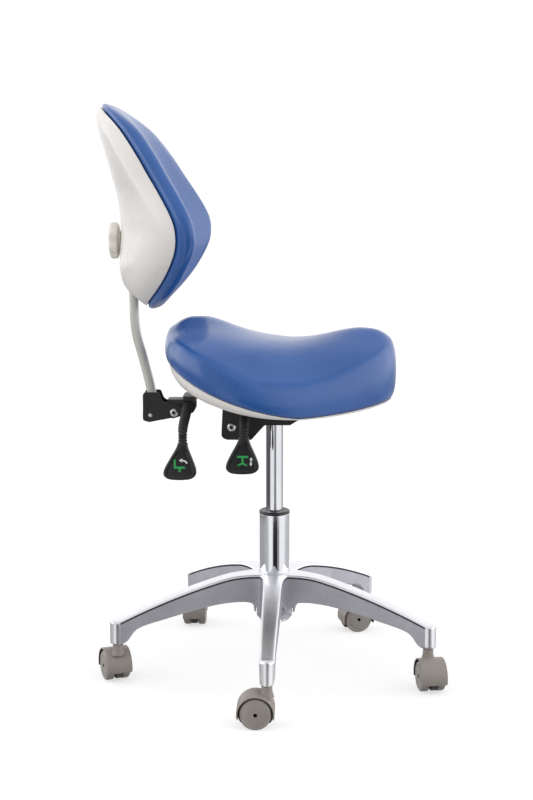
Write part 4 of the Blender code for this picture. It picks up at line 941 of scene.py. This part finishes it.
shell_rows = [shell_row(s) for s in (0.915, 0.93, 0.945, 0.96, 0.972, 0.983, 0.991, 0.997)] + [shell_row(1.0)] + [lambda a: (wrap(*back_at(1.0, a)) - 0.5, *back_at(1.0, a)), lambda a: (wrap(*back_at(0.99, a)) - 0.35, *back_at(0.99, a)), lambda a: (wrap(*back_at(0.96, a)) - 0.5, *back_at(0.96, a))]
points, faces = capped_form(44, shell_cap, shell_rows, shell_inside)
piece("backrest_shell_moulded", mesh_of(points, faces), IVORY, "backrest", ["backrest_shell"], sharp=55, divide=1)

KNOB_Z, KNOB_R = 722.0, 30.0


def knob_ring(r, x, deep, count=168):
    out = []
    for i in range(count):
        a = 2 * math.pi * i / count
        q = r - deep * (0.5 - 0.5 * math.cos(7 * a)) ** 1.6
        out.append((x, q * math.cos(a), KNOB_Z + q * math.sin(a)))
    return out


knob = merged(
    loft([knob_ring(8, -254.2, 0), knob_ring(KNOB_R - 3.2, -254.2, 2.6), knob_ring(KNOB_R - 1.2, -254.9, 3.2), knob_ring(KNOB_R - 0.2, -256.2, 3.8), knob_ring(KNOB_R, -258.0, 4.0), knob_ring(KNOB_R, -262.5, 4.0), knob_ring(KNOB_R - 0.5, -264.8, 4.0), knob_ring(KNOB_R - 2.0, -266.8, 3.8), knob_ring(KNOB_R - 4.4, -268.0, 3.2), knob_ring(KNOB_R - 7.0, -268.2, 2.4), knob_ring(KNOB_R - 11.0, -267.6, 1.0), knob_ring(13.0, -266.8, 0), knob_ring(11.4, -266.9, 0), knob_ring(10.8, -267.8, 0), knob_ring(9.6, -268.3, 0), knob_ring(3.0, -268.5, 0)]),
    turned([(9.0, -254.4), (16.5, -254.4), (16.5, -253.0), (15.0, -250.0), (9.0, -249.0)], 48, at=(0, 0, KNOB_Z), axis="X"))
piece("backrest_clamp_knob", knob, BEIGE, "knob", ["backrest_knob"], sharp=45)

# ---------------------------------------------------------------- CAD nodes that stay, with better finishes
for name, shade in {
    "seat_plate": BLACK_PAINT_AND_SHADE, "seat_board": PLY, "backrest_board": PLY, "arm_slider": ZINC, "knob_stud": ZINC, "lift_piston_rod": ZINC, "lift_thrust_bearing": ZINC,
    "lift_retaining_clip": ZINC, "lift_release_pin": ZINC, "seat_screw_1": ZINC, "seat_screw_2": ZINC, "seat_screw_3": ZINC, "seat_screw_4": ZINC,
    "castor_axle_1": ZINC, "castor_axle_2": ZINC, "castor_axle_3": ZINC, "castor_axle_4": ZINC, "castor_axle_5": ZINC,
}.items():
    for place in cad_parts[name].material_slots:
        place.material = shade

# ---------------------------------------------------------------- studio: pale floor and backdrop, soft light


# brightness round the stool in degrees, 0 towards -Y and positive towards +X: soft boxes at both sides, dark cloth at the camera
ROUND = [(-180, 1.12), (-127, 1.12), (-118, 2.10), (-60, 2.10), (-52, 0.72), (-38, 0.75), (-16, 0.75), (-11, 0.48), (9, 0.45), (13, 0.42), (26, 0.42), (32, 1.20), (45, 1.60), (120, 2.10), (132, 1.12), (180, 1.12)]
NEAR = [(-180, 0.40), (-100, 0.40), (-70, 0.48), (-48, 0.55), (-40, 1.00), (-15, 1.00), (-8, 0.03), (21, 0.02), (24, 0.28), (36, 0.32), (41, 1.00), (84, 1.00), (94, 0.62), (180, 0.50)]
FAR = [(-180, 0.14), (-62, 0.10), (-55, 0.92), (-6, 0.92), (-1, 0.24), (22, 0.26), (27, 0.98), (105, 0.98), (115, 0.45), (180, 0.36)]


def around(tree, levels, space):
    """The set's brightness by direction about the vertical, and the height that the direction has."""
    coords = tree.nodes.new("ShaderNodeTexCoord")
    split = tree.nodes.new("ShaderNodeSeparateXYZ")
    tree.links.new(coords.outputs[space], split.inputs["Vector"])
    flip = tree.nodes.new("ShaderNodeMath")
    flip.operation = "MULTIPLY"
    flip.inputs[1].default_value = -1.0
    turn = tree.nodes.new("ShaderNodeMath")
    turn.operation = "ARCTAN2"
    tree.links.new(split.outputs["Y"], flip.inputs[0])
    tree.links.new(split.outputs["X"], turn.inputs[0])
    tree.links.new(flip.outputs["Value"], turn.inputs[1])
    spread = tree.nodes.new("ShaderNodeMapRange")
    spread.inputs["From Min"].default_value, spread.inputs["From Max"].default_value = -math.pi, math.pi
    tree.links.new(turn.outputs["Value"], spread.inputs["Value"])
    ramp = tree.nodes.new("ShaderNodeValToRGB")
    tree.links.new(spread.outputs["Result"], ramp.inputs["Fac"])
    places = ramp.color_ramp.elements
    while len(places) > 1:
        places.remove(places[-1])
    for k, (degrees, bright) in enumerate(levels):
        at = (degrees + 180) / 360
        stop = places[0] if k == 0 else places.new(at)
        stop.position = at
        stop.color = (bright, bright, bright * 1.01, 1.0)
    return ramp.outputs["Color"], split.outputs["Z"]


def seen_only(tree, shown, others):
    """A shader that the camera sees as one thing and every other ray as another, so that the white set doesn't flood the object."""
    path = tree.nodes.new("ShaderNodeLightPath")
    pick = tree.nodes.new("ShaderNodeMixShader")
    tree.links.new(path.outputs["Is Camera Ray"], pick.inputs["Fac"])
    tree.links.new(others, pick.inputs[1])
    tree.links.new(shown, pick.inputs[2])
    return pick.outputs["Shader"]


sweep_points = [(-5.0, 0.0), (2.4, 0.0)] + [(2.4 + 1.6 * math.sin(math.radians(a)), 1.6 - 1.6 * math.cos(math.radians(a))) for a in range(6, 91, 6)] + [(4.0, 6.0)]
backdrop = bpy.data.meshes.new("studio_floor")
verts = [(x, y, z) for y, z in sweep_points for x in (-7.0, 7.0)]
backdrop.from_pydata(verts, [], [(2 * k, 2 * k + 1, 2 * k + 3, 2 * k + 2) for k in range(len(sweep_points) - 1)])
backdrop.shade_smooth()
floor = bpy.data.objects.new("studio_floor", backdrop)
scene.collection.objects.link(floor)
pale = bpy.data.materials.new("studio_pale")
pale.use_nodes = True
tree = pale.node_tree
tree.nodes.clear()
tint = tree.nodes.new("ShaderNodeTexNoise")
tint.inputs["Scale"].default_value = 0.6
level = tree.nodes.new("ShaderNodeMapRange")
level.inputs["To Min"].default_value, level.inputs["To Max"].default_value = 0.50, 0.54
tree.links.new(tint.outputs["Fac"], level.inputs["Value"])
matte = tree.nodes.new("ShaderNodeBsdfDiffuse")
tree.links.new(level.outputs["Result"], matte.inputs["Color"])
glow = tree.nodes.new("ShaderNodeEmission")
glow.inputs["Color"].default_value, glow.inputs["Strength"].default_value = (1, 1, 1, 1), 0.62
both = tree.nodes.new("ShaderNodeAddShader")
tree.links.new(matte.outputs["BSDF"], both.inputs[0])
tree.links.new(glow.outputs["Emission"], both.inputs[1])
out = tree.nodes.new("ShaderNodeOutputMaterial")
tree.links.new(seen_only(tree, both.outputs["Shader"], matte.outputs["BSDF"]), out.inputs["Surface"])
backdrop.materials.append(pale)
floor.visible_glossy = False  # mirrors see the lit set all the way round instead

world = bpy.data.worlds.new("studio")
scene.world = world
world.use_nodes = True
tree = world.node_tree
nodes, links = tree.nodes, tree.links
nodes.clear()
round_colour, up = around(tree, ROUND, "Generated")
overhead = nodes.new("ShaderNodeMapRange")
overhead.interpolation_type = "SMOOTHSTEP"
overhead.inputs["From Min"].default_value, overhead.inputs["From Max"].default_value = 0.45, 0.80
links.new(up, overhead.inputs["Value"])
blend_up = nodes.new("ShaderNodeMix")
blend_up.data_type = "RGBA"
links.new(overhead.outputs["Result"], blend_up.inputs["Factor"])
sockets = [i for i in blend_up.inputs if i.type == "RGBA"]


def zoned(lower, upper, start, end):
    """One pattern below a height of direction and another above it."""
    where = nodes.new("ShaderNodeMapRange")
    where.inputs["From Min"].default_value, where.inputs["From Max"].default_value = start, end
    links.new(up, where.inputs["Value"])
    both = nodes.new("ShaderNodeMix")
    both.data_type = "RGBA"
    links.new(where.outputs["Result"], both.inputs["Factor"])
    pair = [i for i in both.inputs if i.type == "RGBA"]
    links.new(lower, pair[0])
    links.new(upper, pair[1])
    return [o for o in both.outputs if o.type == "RGBA"][0]


low_set = zoned(around(tree, NEAR, "Generated")[0], around(tree, FAR, "Generated")[0], -0.236, -0.232)
links.new(zoned(low_set, round_colour, -0.16, -0.06), sockets[0])
sockets[1].default_value = (0.85, 0.85, 0.86, 1.0)
lit = nodes.new("ShaderNodeBackground")
links.new([o for o in blend_up.outputs if o.type == "RGBA"][0], lit.inputs["Color"])
lit.inputs["Strength"].default_value = 1.0
white = nodes.new("ShaderNodeBackground")
white.inputs["Color"].default_value, white.inputs["Strength"].default_value = (1, 1, 1, 1), 1.05
out = nodes.new("ShaderNodeOutputWorld")
links.new(seen_only(tree, white.outputs["Background"], lit.outputs["Background"]), out.inputs["Surface"])
scene.view_settings.view_transform = "Standard"
